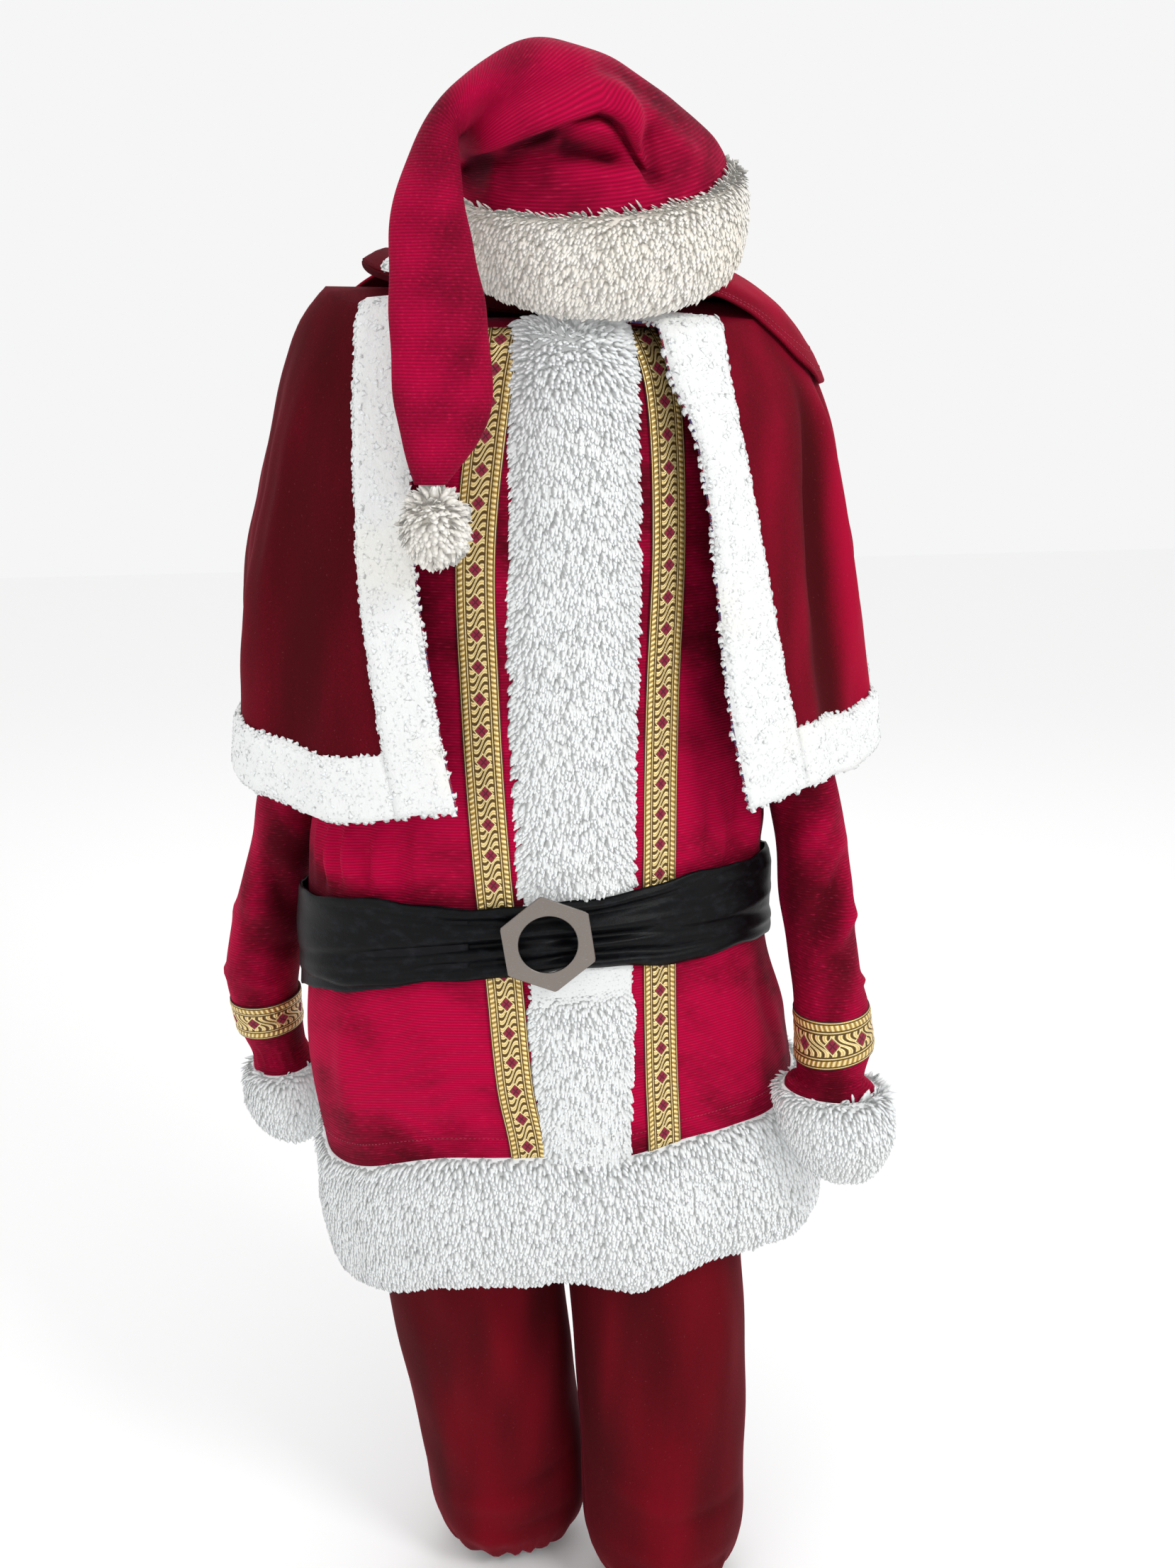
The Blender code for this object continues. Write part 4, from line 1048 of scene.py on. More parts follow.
class PileTree(Sowing):
    """Locks of pile over a surface, each leaning as the surface's lay says, in clumps."""

    def __init__(self) -> None:
        """Build the tree."""
        super().__init__("locks_of_pile")
        for name, kind, value in (("Spacing", "Float", 0.005), ("Width", "Float", 0.004), ("Clump Size", "Float", 0.02),
                                  ("Wander", "Float", 0.5), ("Stray", "Float", 0.2), ("Seed", "Int", 1),
                                  ("Lock", "Object", None), ("Finish", "Material", None)):
            self.take(name, kind, value)
        g, given = self.graph, self.given
        thick = given("Spacing")
        scatter = g.node("GeometryNodeDistributePointsOnFaces", {"distribute_method": "POISSON"},
                         {"Mesh": given("Geometry"), "Distance Min": thick * 0.72,
                          "Density Max": 1.0 / (thick * thick), "Seed": given("Seed")})
        normal = scatter.out("Normal")
        lay = g.node("GeometryNodeInputNamedAttribute", {"data_type": "FLOAT_VECTOR"}, {"Name": "lay"})
        reach = g.node("GeometryNodeInputNamedAttribute", {"data_type": "FLOAT"}, {"Name": "reach"})
        clump = g.node("ShaderNodeTexNoise", {}, {"Vector": g.node("GeometryNodeInputPosition"),
                                                  "Scale": 1.0 / given("Clump Size"), "Detail": 1.0}, "Color")
        clump = g.scaled(g.vector("SUBTRACT", clump, (0.5, 0.5, 0.5)), given("Wander") * 4.0)
        stray = g.node("FunctionNodeRandomValue", {"data_type": "FLOAT_VECTOR"},
                       {0: (-1.0, -1.0, -1.0), 1: (1.0, 1.0, 1.0), "Seed": given("Seed")})
        stray = g.scaled(stray, given("Stray"))
        bend = g.vector("ADD", lay, g.vector("ADD", clump, stray))
        bend = g.vector("SUBTRACT", bend, g.scaled(normal, g.vector("DOT_PRODUCT", bend, normal, output="Value")))
        way = g.vector("ADD", normal, bend)
        stand = g.node("FunctionNodeAlignRotationToVector", {"axis": "Z"}, {"Vector": way})
        stand = g.node("FunctionNodeAlignRotationToVector", {"axis": "X", "pivot_axis": "Z"},
                       {"Rotation": stand, "Vector": bend})
        tall = g.node("FunctionNodeRandomValue", {"data_type": "FLOAT"},
                      {2: 0.78, 3: 1.22, "Seed": given("Seed")}, 1)
        size = g.node("ShaderNodeCombineXYZ", {}, {0: given("Width") * tall, 1: given("Width") * tall,
                                                   2: reach * tall})
        tone = g.node("FunctionNodeRandomValue", {"data_type": "FLOAT"}, {2: 0.0, 3: 1.0, "Seed": 77}, 1)
        points = g.node("GeometryNodeStoreNamedAttribute", {"data_type": "FLOAT", "domain": "POINT"},
                        {"Geometry": scatter, "Name": "tone", "Value": tone})
        points = g.node("GeometryNodeStoreNamedAttribute", {"data_type": "FLOAT_VECTOR", "domain": "POINT"},
                        {"Geometry": points, "Name": "ground", "Value": normal})
        lock = g.node("GeometryNodeObjectInfo", {}, {"Object": given("Lock")}, "Geometry")
        grown = g.node("GeometryNodeInstanceOnPoints", {}, {"Points": points, "Instance": lock, "Rotation": stand,
                                                            "Scale": size})
        self.end(grown, given("Finish"))


class StitchTree(Sowing):
    """Stitches laid along a line, end to end."""

    def __init__(self) -> None:
        """Build the tree."""
        super().__init__("stitches_along_a_line")
        for name, kind, value in (("Pitch", "Float", 0.004), ("Length", "Float", 0.0028), ("Thick", "Float", 0.0005),
                                  ("Slant", "Float", 0.0), ("Finish", "Material", None)):
            self.take(name, kind, value)
        g, given = self.graph, self.given
        line = g.node("GeometryNodeMeshToCurve", {}, {"Mesh": given("Geometry")})
        even = g.node("GeometryNodeResampleCurve", {"mode": "LENGTH"}, {"Curve": line, "Length": given("Pitch")})
        tangent = g.node("GeometryNodeInputTangent")
        turn_to = g.node("FunctionNodeAlignRotationToVector", {"axis": "X"}, {"Vector": tangent})
        swung = g.node("FunctionNodeRotateRotation", {"rotation_space": "LOCAL"},
                       {"Rotation": turn_to, "Rotate By": g.node("ShaderNodeCombineXYZ", {}, {1: given("Slant")})})
        ball = g.node("GeometryNodeMeshIcoSphere", {}, {"Radius": 0.5, "Subdivisions": 1})
        size = g.node("ShaderNodeCombineXYZ", {}, {0: given("Length"), 1: given("Thick"), 2: given("Thick")})
        laid = g.node("GeometryNodeInstanceOnPoints", {}, {"Points": even, "Instance": ball, "Rotation": swung,
                                                           "Scale": size})
        self.end(laid, given("Finish"))


def show(piece: Thing, finish: Finish, slot: str, *nodes: str) -> Thing:
    """Dress a finished piece, hide the imported parts that it replaces, and log its faces.

    Args:
        piece: The piece.
        finish: Its finish.
        slot: Not used.
        *nodes: The nodes that it replaces.

    Returns:
        The piece.
    """
    piece.data.materials.clear()
    piece.data.materials.append(finish.made())
    piece.data.polygons.foreach_set("material_index", np.zeros(len(piece.data.polygons), dtype=np.int32))
    if nodes:
        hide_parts(*nodes)
    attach(piece, BODY)
    LOG.info("%s: %d faces", piece.name, len(piece.data.polygons))
    return piece


@dataclass
class Pile:
    """How a plush lies: its finish, how close its locks are and how they lean."""

    finish: Finish
    slot: str
    spacing: float
    width: float
    reach: float
    clump: float = 0.022
    wander: float = 0.45
    stray: float = 0.22
    lay: tuple[float, float, float] = (0.0, 0.0, -0.9)
    spread: float = 0.9           # how far the locks lean over the plush's edges
    seed: int = 1


class Furrier:
    """Makes plush: a backing sheet and the locks on it."""

    def __init__(self) -> None:
        """Make the two kinds of lock and the tree that sows them."""
        self.tree = PileTree()
        self.long = lock_mesh("long_lock", 3, ((0.0, 0.46), (0.42, 0.62), (0.78, 0.4), (1.0, 0.0)), 0.26, 0.3)
        self.short = lock_mesh("short_curl", 3, ((0.0, 0.42), (0.45, 0.62), (0.85, 0.5), (1.05, 0.0)), 0.9, 0.5)

    def locks(self, name: str, cloth: Cloth, pile: Pile, reach: Array | float, sideways: bool = False,
              short: bool = False) -> Thing:
        """Sow locks on a sheet.

        Args:
            name: The new piece's name.
            cloth: The sheet, at the height where the locks are rooted.
            pile: How the plush lies.
            reach: The locks' length, one number or one for each point.
            sideways: Whether they also lean out over the sheet's side edges.
            short: Whether they are short curls.

        Returns:
            The piece of locks.
        """
        rows, cols = cloth.points.shape[:2]
        grid = cloth.points
        down = np.gradient(grid, axis=0)
        down /= np.maximum(np.linalg.norm(down, axis=2, keepdims=True), 1e-12)
        lay = np.broadcast_to(np.array(pile.lay), grid.shape).copy()
        top = hill(np.linspace(0.0, 1.0, rows), 0.16)[:, None, None]
        foot = hill(np.linspace(1.0, 0.0, rows), 0.2)[:, None, None]
        lay += down * (foot - top) * pile.spread
        if sideways:
            across = np.gradient(grid, axis=1)
            across /= np.maximum(np.linalg.norm(across, axis=2, keepdims=True), 1e-12)
            left = hill(np.linspace(0.0, 1.0, cols), 0.16)[None, :, None]
            right = hill(np.linspace(1.0, 0.0, cols), 0.16)[None, :, None]
            lay += across * (right - left) * pile.spread * 1.25
        ring = cloth.ring(grid)
        wide = ring.shape[1]
        lays, reaches = cloth.ring(lay), cloth.ring(np.broadcast_to(reach, (rows, cols)).copy())
        r, c = np.meshgrid(np.arange(rows - 1), np.arange(wide - 1), indexing="ij")
        a = r * wide + c
        faces = np.stack([a, a + wide, a + wide + 1, a + 1], axis=-1).reshape(-1, 4)
        carrier = mesh_object(name + "_ground", ring.reshape(-1, 3), faces)
        return self.sow(name, carrier, lays.reshape(-1, 3), reaches.reshape(-1), pile, short)

    def sow(self, name: str, carrier: Thing, lay: Array, reach: Array, pile: Pile,
            short: bool = False) -> Thing:
        """Sow locks on any ground, whose points say how they lie."""
        data = carrier.data
        data.attributes.new("lay", "FLOAT_VECTOR", "POINT").data.foreach_set("vector", lay.astype(np.float32).ravel())
        data.attributes.new("reach", "FLOAT", "POINT").data.foreach_set("value", reach.astype(np.float32))
        piece = self.tree.grow(name, carrier, Spacing=pile.spacing, Width=pile.width, Clump_Size=pile.clump,
                               Wander=pile.wander, Stray=pile.stray, Seed=pile.seed,
                               Lock=self.short if short else self.long, Finish=pile.finish.made())
        return show(piece, pile.finish, pile.slot)

    def done(self) -> None:
        """Take the two locks out of the scene."""
        for lock in (self.long, self.short):
            bpy.data.objects.remove(lock, do_unlink=True)


class Needle:
    """Sews lines of stitches."""

    def __init__(self) -> None:
        """Make the tree."""
        self.tree = StitchTree()

    def sew(self, name: str, line: Array, finish: Finish, slot: str, pitch: float, length: float, thick: float,
            slant: float = 0.0) -> Thing:
        """Lay stitches along one or more lines of points.

        Args:
            name: The new piece's name.
            line: Points along the line, or a list of such lines.
            finish: The thread.
            slot: The record's material slot.
            pitch: Distance from stitch to stitch.
            length: A stitch's length.
            thick: The thread's thickness.
            slant: A stitch's turn out of the line.

        Returns:
            The piece.
        """
        lines = line if isinstance(line, list) else [line]
        mesh = bpy.data.meshes.new(name + "_line")
        points = np.concatenate(lines)
        edges, start = [], 0
        for each in lines:
            edges += [(start + i, start + i + 1) for i in range(len(each) - 1)]
            start += len(each)
        mesh.from_pydata([tuple(map(float, p)) for p in points], edges, [])
        carrier = placed(name + "_line", mesh)
        piece = self.tree.grow(name, carrier, Pitch=pitch, Length=length, Thick=thick, Slant=slant,
                               Finish=finish.made())
        return show(piece, finish, slot)


@dataclass
class Tools:
    """What every garment is made with."""

    furrier: Furrier = field(default_factory=Furrier)
    needle: Needle = field(default_factory=Needle)


def declare(piece: Thing, cloth: Cloth, held: Held) -> None:
    """Log a sheet of cloth's cut and area, the cut taken from the sheet's own size."""
    width, length = cloth.cut_size()
    area = min(max(cloth.area(), 0.301 * width * length), width * length)
    LOG.info("%s: cut %.3f x %.3f m, area %.4f", piece.name, width, length, area)


# ---- the jacket
class BodyForm(Form):
    """The jacket's body, with the fine creases of its cloth."""

    table = Table((
        (0, 4, 78, 80, 80), (-14, 4, 120, 93, 98), (-32, 3, 152, 103, 108), (-60, 2, 172, 112, 115),
        (-110, 2, 176, 120, 120), (-165, 2, 177, 125, 122), (-220, 1, 180, 128, 122),
        (-310, 0, 189, 132, 121), (-400, -5, 206, 136, 120), (-455, -10, 217, 140, 120),
        (-500, -12, 220, 141, 120), (-600, -10, 228, 147, 124), (-670, -2, 240, 154, 128),
        (-744, 12, 240, 160, 130), (-805, 23, 246, 164, 132), (-866, 32, 250, 168, 134)), MM)
    folds = listed(Fold, (
        (-1.05, 0.2, 0.006, -0.34, -0.47, -0.56), (-0.72, 0.16, -0.005, -0.36, -0.47, -0.55),
        (0.86, 0.16, -0.006, -0.36, -0.46, -0.55), (1.16, 0.18, 0.006, -0.3, -0.46, -0.56),
        (2.3, 0.22, -0.007, -0.34, -0.47, -0.57), (2.8, 0.2, 0.006, -0.36, -0.47, -0.55),
        (-2.55, 0.24, -0.007, -0.34, -0.47, -0.57), (-1.15, 0.24, -0.006, -0.6, -0.86, -1.1),
        (-0.62, 0.22, 0.005, -0.66, -0.86, -1.1), (-0.22, 0.16, -0.005, -0.72, -0.86, -1.1),
        (0.06, 0.17, 0.01, -0.7, -0.86, -1.1), (0.42, 0.18, -0.006, -0.7, -0.86, -1.1),
        (0.8, 0.2, 0.007, -0.62, -0.86, -1.1), (1.28, 0.22, -0.006, -0.6, -0.86, -1.1),
        (2.2, 0.26, 0.008, -0.6, -0.86, -1.1), (2.75, 0.24, -0.007, -0.62, -0.86, -1.1),
        (-2.85, 0.24, 0.008, -0.6, -0.86, -1.1), (-2.3, 0.24, -0.007, -0.62, -0.86, -1.1)))
    lifts = listed(Lift, ((-1.3, 0.8, -0.042), (-2.4, 0.9, -0.012), (0.1, 0.3, -0.008), (1.75, 0.7, 0.012)))
    creases = listed(Crease, (
        # gathers that stand on the belt, on the front
        (-0.62, -0.5, -0.66, -0.425, 0.0055, 0.004), (-0.72, -0.5, -0.78, -0.44, 0.005, -0.0036),
        (-0.8, -0.5, -0.84, -0.425, 0.0055, 0.006), (-0.88, -0.5, -0.9, -0.44, 0.0045, -0.006),
        (-0.95, -0.5, -1.0, -0.425, 0.0055, 0.007), (-1.03, -0.5, -1.06, -0.44, 0.0045, -0.006),
        (-1.1, -0.5, -1.16, -0.42, 0.006, 0.006), (-1.19, -0.505, -1.2, -0.44, 0.0055, -0.005),
        (-1.3, -0.505, -1.38, -0.39, 0.007, 0.0045), (0.66, -0.495, 0.72, -0.4, 0.006, -0.0046),
        (0.78, -0.495, 0.8, -0.43, 0.0055, 0.004), (0.9, -0.5, 1.02, -0.37, 0.007, -0.0055),
        (1.04, -0.5, 1.1, -0.42, 0.006, 0.0045), (1.18, -0.5, 1.3, -0.36, 0.0075, -0.006),
        (1.34, -0.505, 1.4, -0.41, 0.0065, 0.0048), (1.5, -0.505, 1.62, -0.37, 0.008, -0.0055),
        # drags from the armholes
        (-1.35, -0.25, -0.85, -0.33, 0.012, -0.0045), (-1.3, -0.3, -0.8, -0.395, 0.011, 0.0045),
        (1.3, -0.24, 0.72, -0.33, 0.013, -0.006), (1.36, -0.3, 0.8, -0.39, 0.012, 0.0055),
        # soft ripples below the belt
        (-0.7, -0.59, -0.74, -0.69, 0.011, -0.003), (-0.98, -0.59, -1.06, -0.72, 0.012, 0.0034),
        (0.74, -0.59, 0.78, -0.68, 0.011, 0.003), (1.0, -0.59, 1.06, -0.71, 0.012, -0.0036),
        (1.28, -0.59, 1.36, -0.69, 0.013, 0.0036),
        # the back's gathers and drags
        (1.86, -0.5, 1.82, -0.4, 0.0065, 0.0045), (2.04, -0.5, 2.02, -0.43, 0.006, -0.004),
        (2.22, -0.5, 2.16, -0.38, 0.0075, 0.0045), (2.44, -0.5, 2.42, -0.41, 0.006, -0.0042),
        (2.66, -0.5, 2.6, -0.37, 0.007, 0.004), (2.9, -0.5, 2.92, -0.42, 0.0065, -0.0045),
        (3.14, -0.5, 3.1, -0.39, 0.0075, 0.0045), (-2.92, -0.5, -2.96, -0.43, 0.006, -0.0038),
        (-2.66, -0.5, -2.58, -0.38, 0.007, 0.0046), (-2.4, -0.5, -2.42, -0.42, 0.006, -0.0042),
        (-2.14, -0.5, -2.06, -0.39, 0.0075, 0.0044), (-1.88, -0.5, -1.86, -0.43, 0.0065, -0.004),
        (2.3, -0.25, 2.9, -0.33, 0.014, 0.005), (-2.3, -0.26, -2.85, -0.35, 0.014, -0.005),
        (2.5, -0.6, 2.46, -0.71, 0.013, 0.0036), (-2.66, -0.6, -2.6, -0.7, 0.013, -0.0036),
        (3.1, -0.6, 3.06, -0.72, 0.014, -0.0034)))

    def at(self, angle: Array, row: Array) -> Array:
        """Read the body's points."""
        z, middle, half, front, back = self.table.at(row)
        x, y = oval(angle, half, front, back)
        out = folds_at(self.folds, angle, z) + creases_at(self.creases, angle, z, 0.17)
        swell = 1.0 + out / np.hypot(x, y)
        lift = lifts_at(self.lifts, angle) * smooth(-z, 0.62, 0.76)
        return np.stack([middle + x * swell, y * swell, z + lift], axis=-1)


@dataclass
class Jacket:
    """The long jacket: two fronts, a back, a plush panel between two gold braids, and a plush hem."""

    tools: Tools
    cloth: float = 0.0022
    step: float = 0.005
    top: float = 0.0
    hem: float = -0.744
    foot: float = -0.866
    side_seam: float = 1.62
    belt_middle: float = -0.545
    belt_half: float = 0.047
    braid_width: float = 0.033
    form: BodyForm = field(default_factory=BodyForm)
    fronts: Table = field(default_factory=lambda: Table((
        (0, -64, -46, 8, 60, 79), (-60, -82, -56, 4, 61, 98), (-187, -99, -61, 2, 60, 102),
        (-320, -99, -62, 0, 57, 96), (-455, -94, -59, -1, 55, 93), (-570, -85, -54, 0, 55, 93),
        (-670, -78, -49, 0, 51, 93), (-744, -66, -45, -4, 48, 95), (-866, -60, -40, -4, 48, 95)), MM))
    white: Pile = field(default_factory=lambda: Pile(WHITE_PLUSH, "white_plush", 0.0031, 0.0052, 0.0125, 0.034, 0.45,
                                                     0.35, (0.0, 0.0, -3.4), 2.6))

    def rows(self, top: float, foot: float, step: float | None = None) -> Array:
        """Row numbers an even step apart between two heights."""
        count = int(round((top - foot) / (step or self.step))) + 1
        return self.form.table.place_of(np.linspace(top, foot, count))

    def angles(self, rows: Array, column: int, shift: float = 0.0) -> Array:
        """The angles where the rows cross a line of the fronts' table."""
        z = self.form.table.at(rows)[0]
        edges = self.fronts.at(self.fronts.place_of(z))
        return self.form.angle_of_x(rows, edges[column] + shift)

    def between(self, rows: Array, start: Array | float, stop: Array | float, count: int) -> Cloth:
        """Lay a sheet between two lines of angles."""
        share = np.linspace(0.0, 1.0, count)[None, :]
        start, stop = np.broadcast_to(start, rows.shape)[:, None], np.broadcast_to(stop, rows.shape)[:, None]
        return self.form.lay(rows, start + (stop - start) * share)

    def build(self) -> None:
        """Make the cloth, the panel, the braids and the hem."""
        self.build_cloth()
        self.build_braids()
        self.build_panel()
        self.build_hem()

    def build_cloth(self) -> None:
        """The two fronts and the back."""
        rows = self.rows(self.top, self.hem)
        middle = self.angles(rows, 3)
        cuts = (("jacket_front_right", -self.side_seam, middle, 62), ("jacket_front_left", middle, self.side_seam, 62),
                ("jacket_back", self.side_seam, 2.0 * math.pi - self.side_seam, 104))
        for name, start, stop, count in cuts:
            cloth = self.between(rows, start, stop, count)
            cloth = cloth.moved(ripple(cloth.points, 5, 0.16, 0.0012))
            painted_light = self.painted_light(rows, cloth)
            piece = show(cloth.shell(name + "_cloth", -self.cloth, 0.0, painted_light), CORD, "crimson_cord", name)
            declare(piece, cloth, Held.HUNG)
        line = self.between(self.rows(self.hem + 0.022, self.hem, 0.011), -self.side_seam - 0.1,
                            2.0 * math.pi - self.side_seam, 600)
        self.tools.needle.sew("jacket_hem_stitches", line.points[0] + line.outward[0] * 0.0009, RED_THREAD,
                              "crimson_cord", 0.0042, 0.003, 0.0007)

    def painted_light(self, rows: Array, cloth: Cloth) -> Array:
        """Painted light and shade on the velour: painted light in broad patches and in two bands across it, and painted
        shade under the cape, by the side seams (most on the wearer's left), just above the belt and just above the hem.
        """
        x, y, z = (cloth.points[..., k] for k in range(3))
        angle = np.arctan2(x, -y)
        lit = 0.62 + 0.3 * hill(z + 0.66, 0.11) + 0.22 * hill(z + 0.43, 0.09) - 0.25 * smooth(z, -0.36, -0.2)
        lit -= 0.45 * smooth(np.abs(angle), 1.05, 1.5) * (0.6 + 0.4 * np.sign(x))
        lit -= 0.35 * hill(z + 0.505, 0.035) + 0.25 * smooth(-z, 0.7, 0.744)
        return lit + ripple(cloth.points, 9, 0.09, 0.22) + ripple(cloth.points, 10, 0.035, 0.1)

    def build_braids(self) -> None:
        """The gold braids down the fronts, in relief."""
        rows = self.rows(-0.01, self.hem - 0.004, 0.0011)
        for word, column, shift in (("right", 1, self.braid_width), ("left", 5, -self.braid_width)):
            outer, inner = self.angles(rows, column), self.angles(rows, column, shift)
            start, stop = (outer, inner) if word == "right" else (inner, outer)
            cloth = self.between(rows, start, stop, 27)
            across, down = cloth.measures()
            change = self.braid_width / across[-1]
            relief = BRAID_GOLD.relief(across[None, :] * change, -down[:, None])
            piece = cloth.shell(f"braid_{word}_gold", LAYER, 0.0016 + relief)
            redraw_uv(piece, np.array([change, 1.0]))
            show(piece, BRAID_GOLD, "gold_braid", f"braid_{word}")
            declare(piece, cloth, Held.HUNG)

    def pressed(self, cloth: Cloth, full: float, flat: float) -> Array:
        """The reach of the panel's locks, short where the belt presses them."""
        z = cloth.points[..., 2]
        away = smooth(np.abs(z - self.belt_middle), self.belt_half * 0.86, self.belt_half * 1.25)
        return flat + (full - flat) * away

    def build_panel(self) -> None:
        """The long plush down the front."""
        rows = self.rows(-0.006, self.hem + 0.004)
        cloth = self.between(rows, self.angles(rows, 2, 0.009), self.angles(rows, 4, -0.006), 41)
        swell = self.pressed(cloth, 0.0105, 0.002) * np.sqrt(hill(np.linspace(-1.0, 1.0, 41), 1.04))[None, :]
        swell += ripple(cloth.points, 15, 0.055, 0.0011) * (swell / 0.0105) ** 2
        backing = cloth.shell("fur_front_backing", LAYER, 0.0008 + swell)
        show(backing, WHITE_PLUSH, "white_plush", "fur_front")
        reach = self.pressed(cloth, self.white.reach, 0.003)
        locks = self.tools.furrier.locks("fur_front_locks", cloth.moved(swell + 0.0004), self.white, reach, True)
        declare(backing, cloth, Held.HUNG)

    def build_hem(self) -> None:
        """The plush round the hem, a piece for each front and one for the back."""
        rows = self.rows(self.hem + 0.003, self.foot)
        middle = self.angles(rows, 3)
        cuts = (("hem_fur_right", -self.side_seam, middle, 61), ("hem_fur_left", middle, self.side_seam, 61),
                ("hem_fur_back", self.side_seam, 2.0 * math.pi - self.side_seam, 101))
        round_off, inner = plump(len(rows), 0.0115)
        for index, (name, start, stop, count) in enumerate(cuts):
            cloth = self.between(rows, start, stop, count)
            swell = round_off + ripple(cloth.points, 21, 0.11, 0.0016) * inner
            backing = cloth.shell(name + "_backing", -self.cloth, 0.0008 + swell)
            show(backing, WHITE_PLUSH, "white_plush", name)
            pile = Pile(WHITE_PLUSH, "white_plush", 0.0033, 0.0054, 0.0135, 0.034, 0.45, 0.35, (0.0, 0.0, -3.2), 1.2,
                        11 + index)
            locks = self.tools.furrier.locks(name + "_locks", cloth.moved(swell + 0.0004), pile, pile.reach)
            declare(backing, cloth, Held.HUNG)


# ---- sleeves
class SleeveForm(Form):
    """A sleeve from its shoulder to its cuff."""

    def __init__(self, rows: tuple, side: float, creases: tuple) -> None:
        """Keep the rows, the side (1 the wearer's left, -1 the right) and the creases."""
        self.table = Table(rows, MM)
        self.side = side
        self.creases = creases

    def at(self, angle: Array, row: Array) -> Array:
        """Read the sleeve's points."""
        outer_x, outer_z, inner_x, inner_z, middle_y, half_y = self.table.at(row)
        mid_x, mid_z = (outer_x + inner_x) / 2.0, (outer_z + inner_z) / 2.0
        out = creases_at(self.creases, angle, -np.asarray(row) * 0.05, 0.042)
        reach, deep = np.cos(angle), np.sin(angle)
        x = mid_x + ((outer_x - inner_x) / 2.0 + out) * reach
        z = mid_z + (outer_z - inner_z) / 2.0 * reach
        return np.stack([self.side * x, middle_y + self.side * (half_y + out) * deep, z], axis=-1)


@dataclass
class Sleeve:
    """A sleeve with its braid, the gathered strip below it, and its plush cuff."""

    tools: Tools
    word: str
    side: float
    rows: tuple
    creases: tuple
    cloth: float = 0.0022
    braid_rows: tuple[float, float] = (9.0, 10.0)
    cuff_rows: tuple[float, float] = (12.0, 14.0)
    cells: int = 64
    pile: Pile = field(default_factory=lambda: Pile(WHITE_PLUSH, "white_plush", 0.003, 0.005, 0.0125, 0.026, 0.5,
                                                    0.35, (0.0, 0.0, -2.8), 1.2))

    def build(self) -> None:
        """Make the sleeve, its braid and its cuff."""
        form = SleeveForm(self.rows, self.side, self.creases)
        angles = all_round(self.cells)
        down = np.concatenate([np.linspace(0.0, 8.6, 110)[:-1], np.linspace(8.6, 14.0, 60)])
        tube = form.lay(down, angles, True)
        z = tube.points[..., 2]
        puckers = np.sin(angles * 23.0 + np.sin(angles * 5.0) * 2.0)[None, :] * 0.0011
        gathered = hill(down - 11.1, 1.1)[:, None] * puckers
        tube = tube.moved(ripple(tube.points, 31, 0.13, 0.0016) + gathered)
        name = "sleeve_" + self.word
        pressed = creases_at(form.creases, angles[None, :], -down[:, None] * 0.05, 0.042)
        # painted light: lighter towards one side of the sleeve, painted highlights and shade on its creases, and
        # painted sheen patches
        painted_light = 0.55 + 0.3 * np.cos(angles - 0.9 * self.side)[None, :] + pressed * 30.0 + ripple(tube.points, 33, 0.07, 0.2)
        piece = show(tube.shell(name + "_cloth", -self.cloth, 0.0, painted_light), CORD, "crimson_cord", name)
        declare(piece, tube, Held.HUNG)
        LOG.info("%s hangs to %.3f", name, float(z.min()))
        self.build_braid(form, angles)
        self.build_cuff(form, angles)

    def build_braid(self, form: SleeveForm, angles: Array) -> None:
        """The gold braid round the sleeve, its figure running round."""
        around = all_round(190)
        rows = np.linspace(*self.braid_rows, 27)
        cloth = form.lay(rows, around, True)
        across, down = cloth.measures()
        width = BRAID_GOLD.width
        repeats = max(round(across[-1] / BRAID_GOLD.repeat), 1)
        stretch = repeats * BRAID_GOLD.repeat / across[-1]
        relief = BRAID_GOLD.relief(down[:, None] / down[-1] * width, across[None, :-1] * stretch)
        piece = cloth.shell(f"sleeve_braid_{self.word}_gold", LAYER, 0.0016 + relief)
        redraw_uv(piece, np.array([stretch, -width / down[-1]]), True)
        show(piece, BRAID_GOLD, "gold_braid", "sleeve_braid_" + self.word)
        declare(piece, cloth, Held.HUNG)

    def build_cuff(self, form: SleeveForm, angles: Array) -> None:
        """The plush cuff."""
        rows = np.linspace(*self.cuff_rows, 22)
        cloth = form.lay(rows, angles, True)
        swell = plump(len(rows), 0.0115)[0] * np.ones((1, len(angles)))
        backing = cloth.shell(f"cuff_fur_{self.word}_backing", LAYER, 0.0009 + swell)
        show(backing, WHITE_PLUSH, "white_plush", "cuff_fur_" + self.word)
        locks = self.tools.furrier.locks(f"cuff_fur_{self.word}_locks", cloth.moved(swell + 0.0004), self.pile,
                                         self.pile.reach)
        declare(backing, cloth, Held.HUNG)


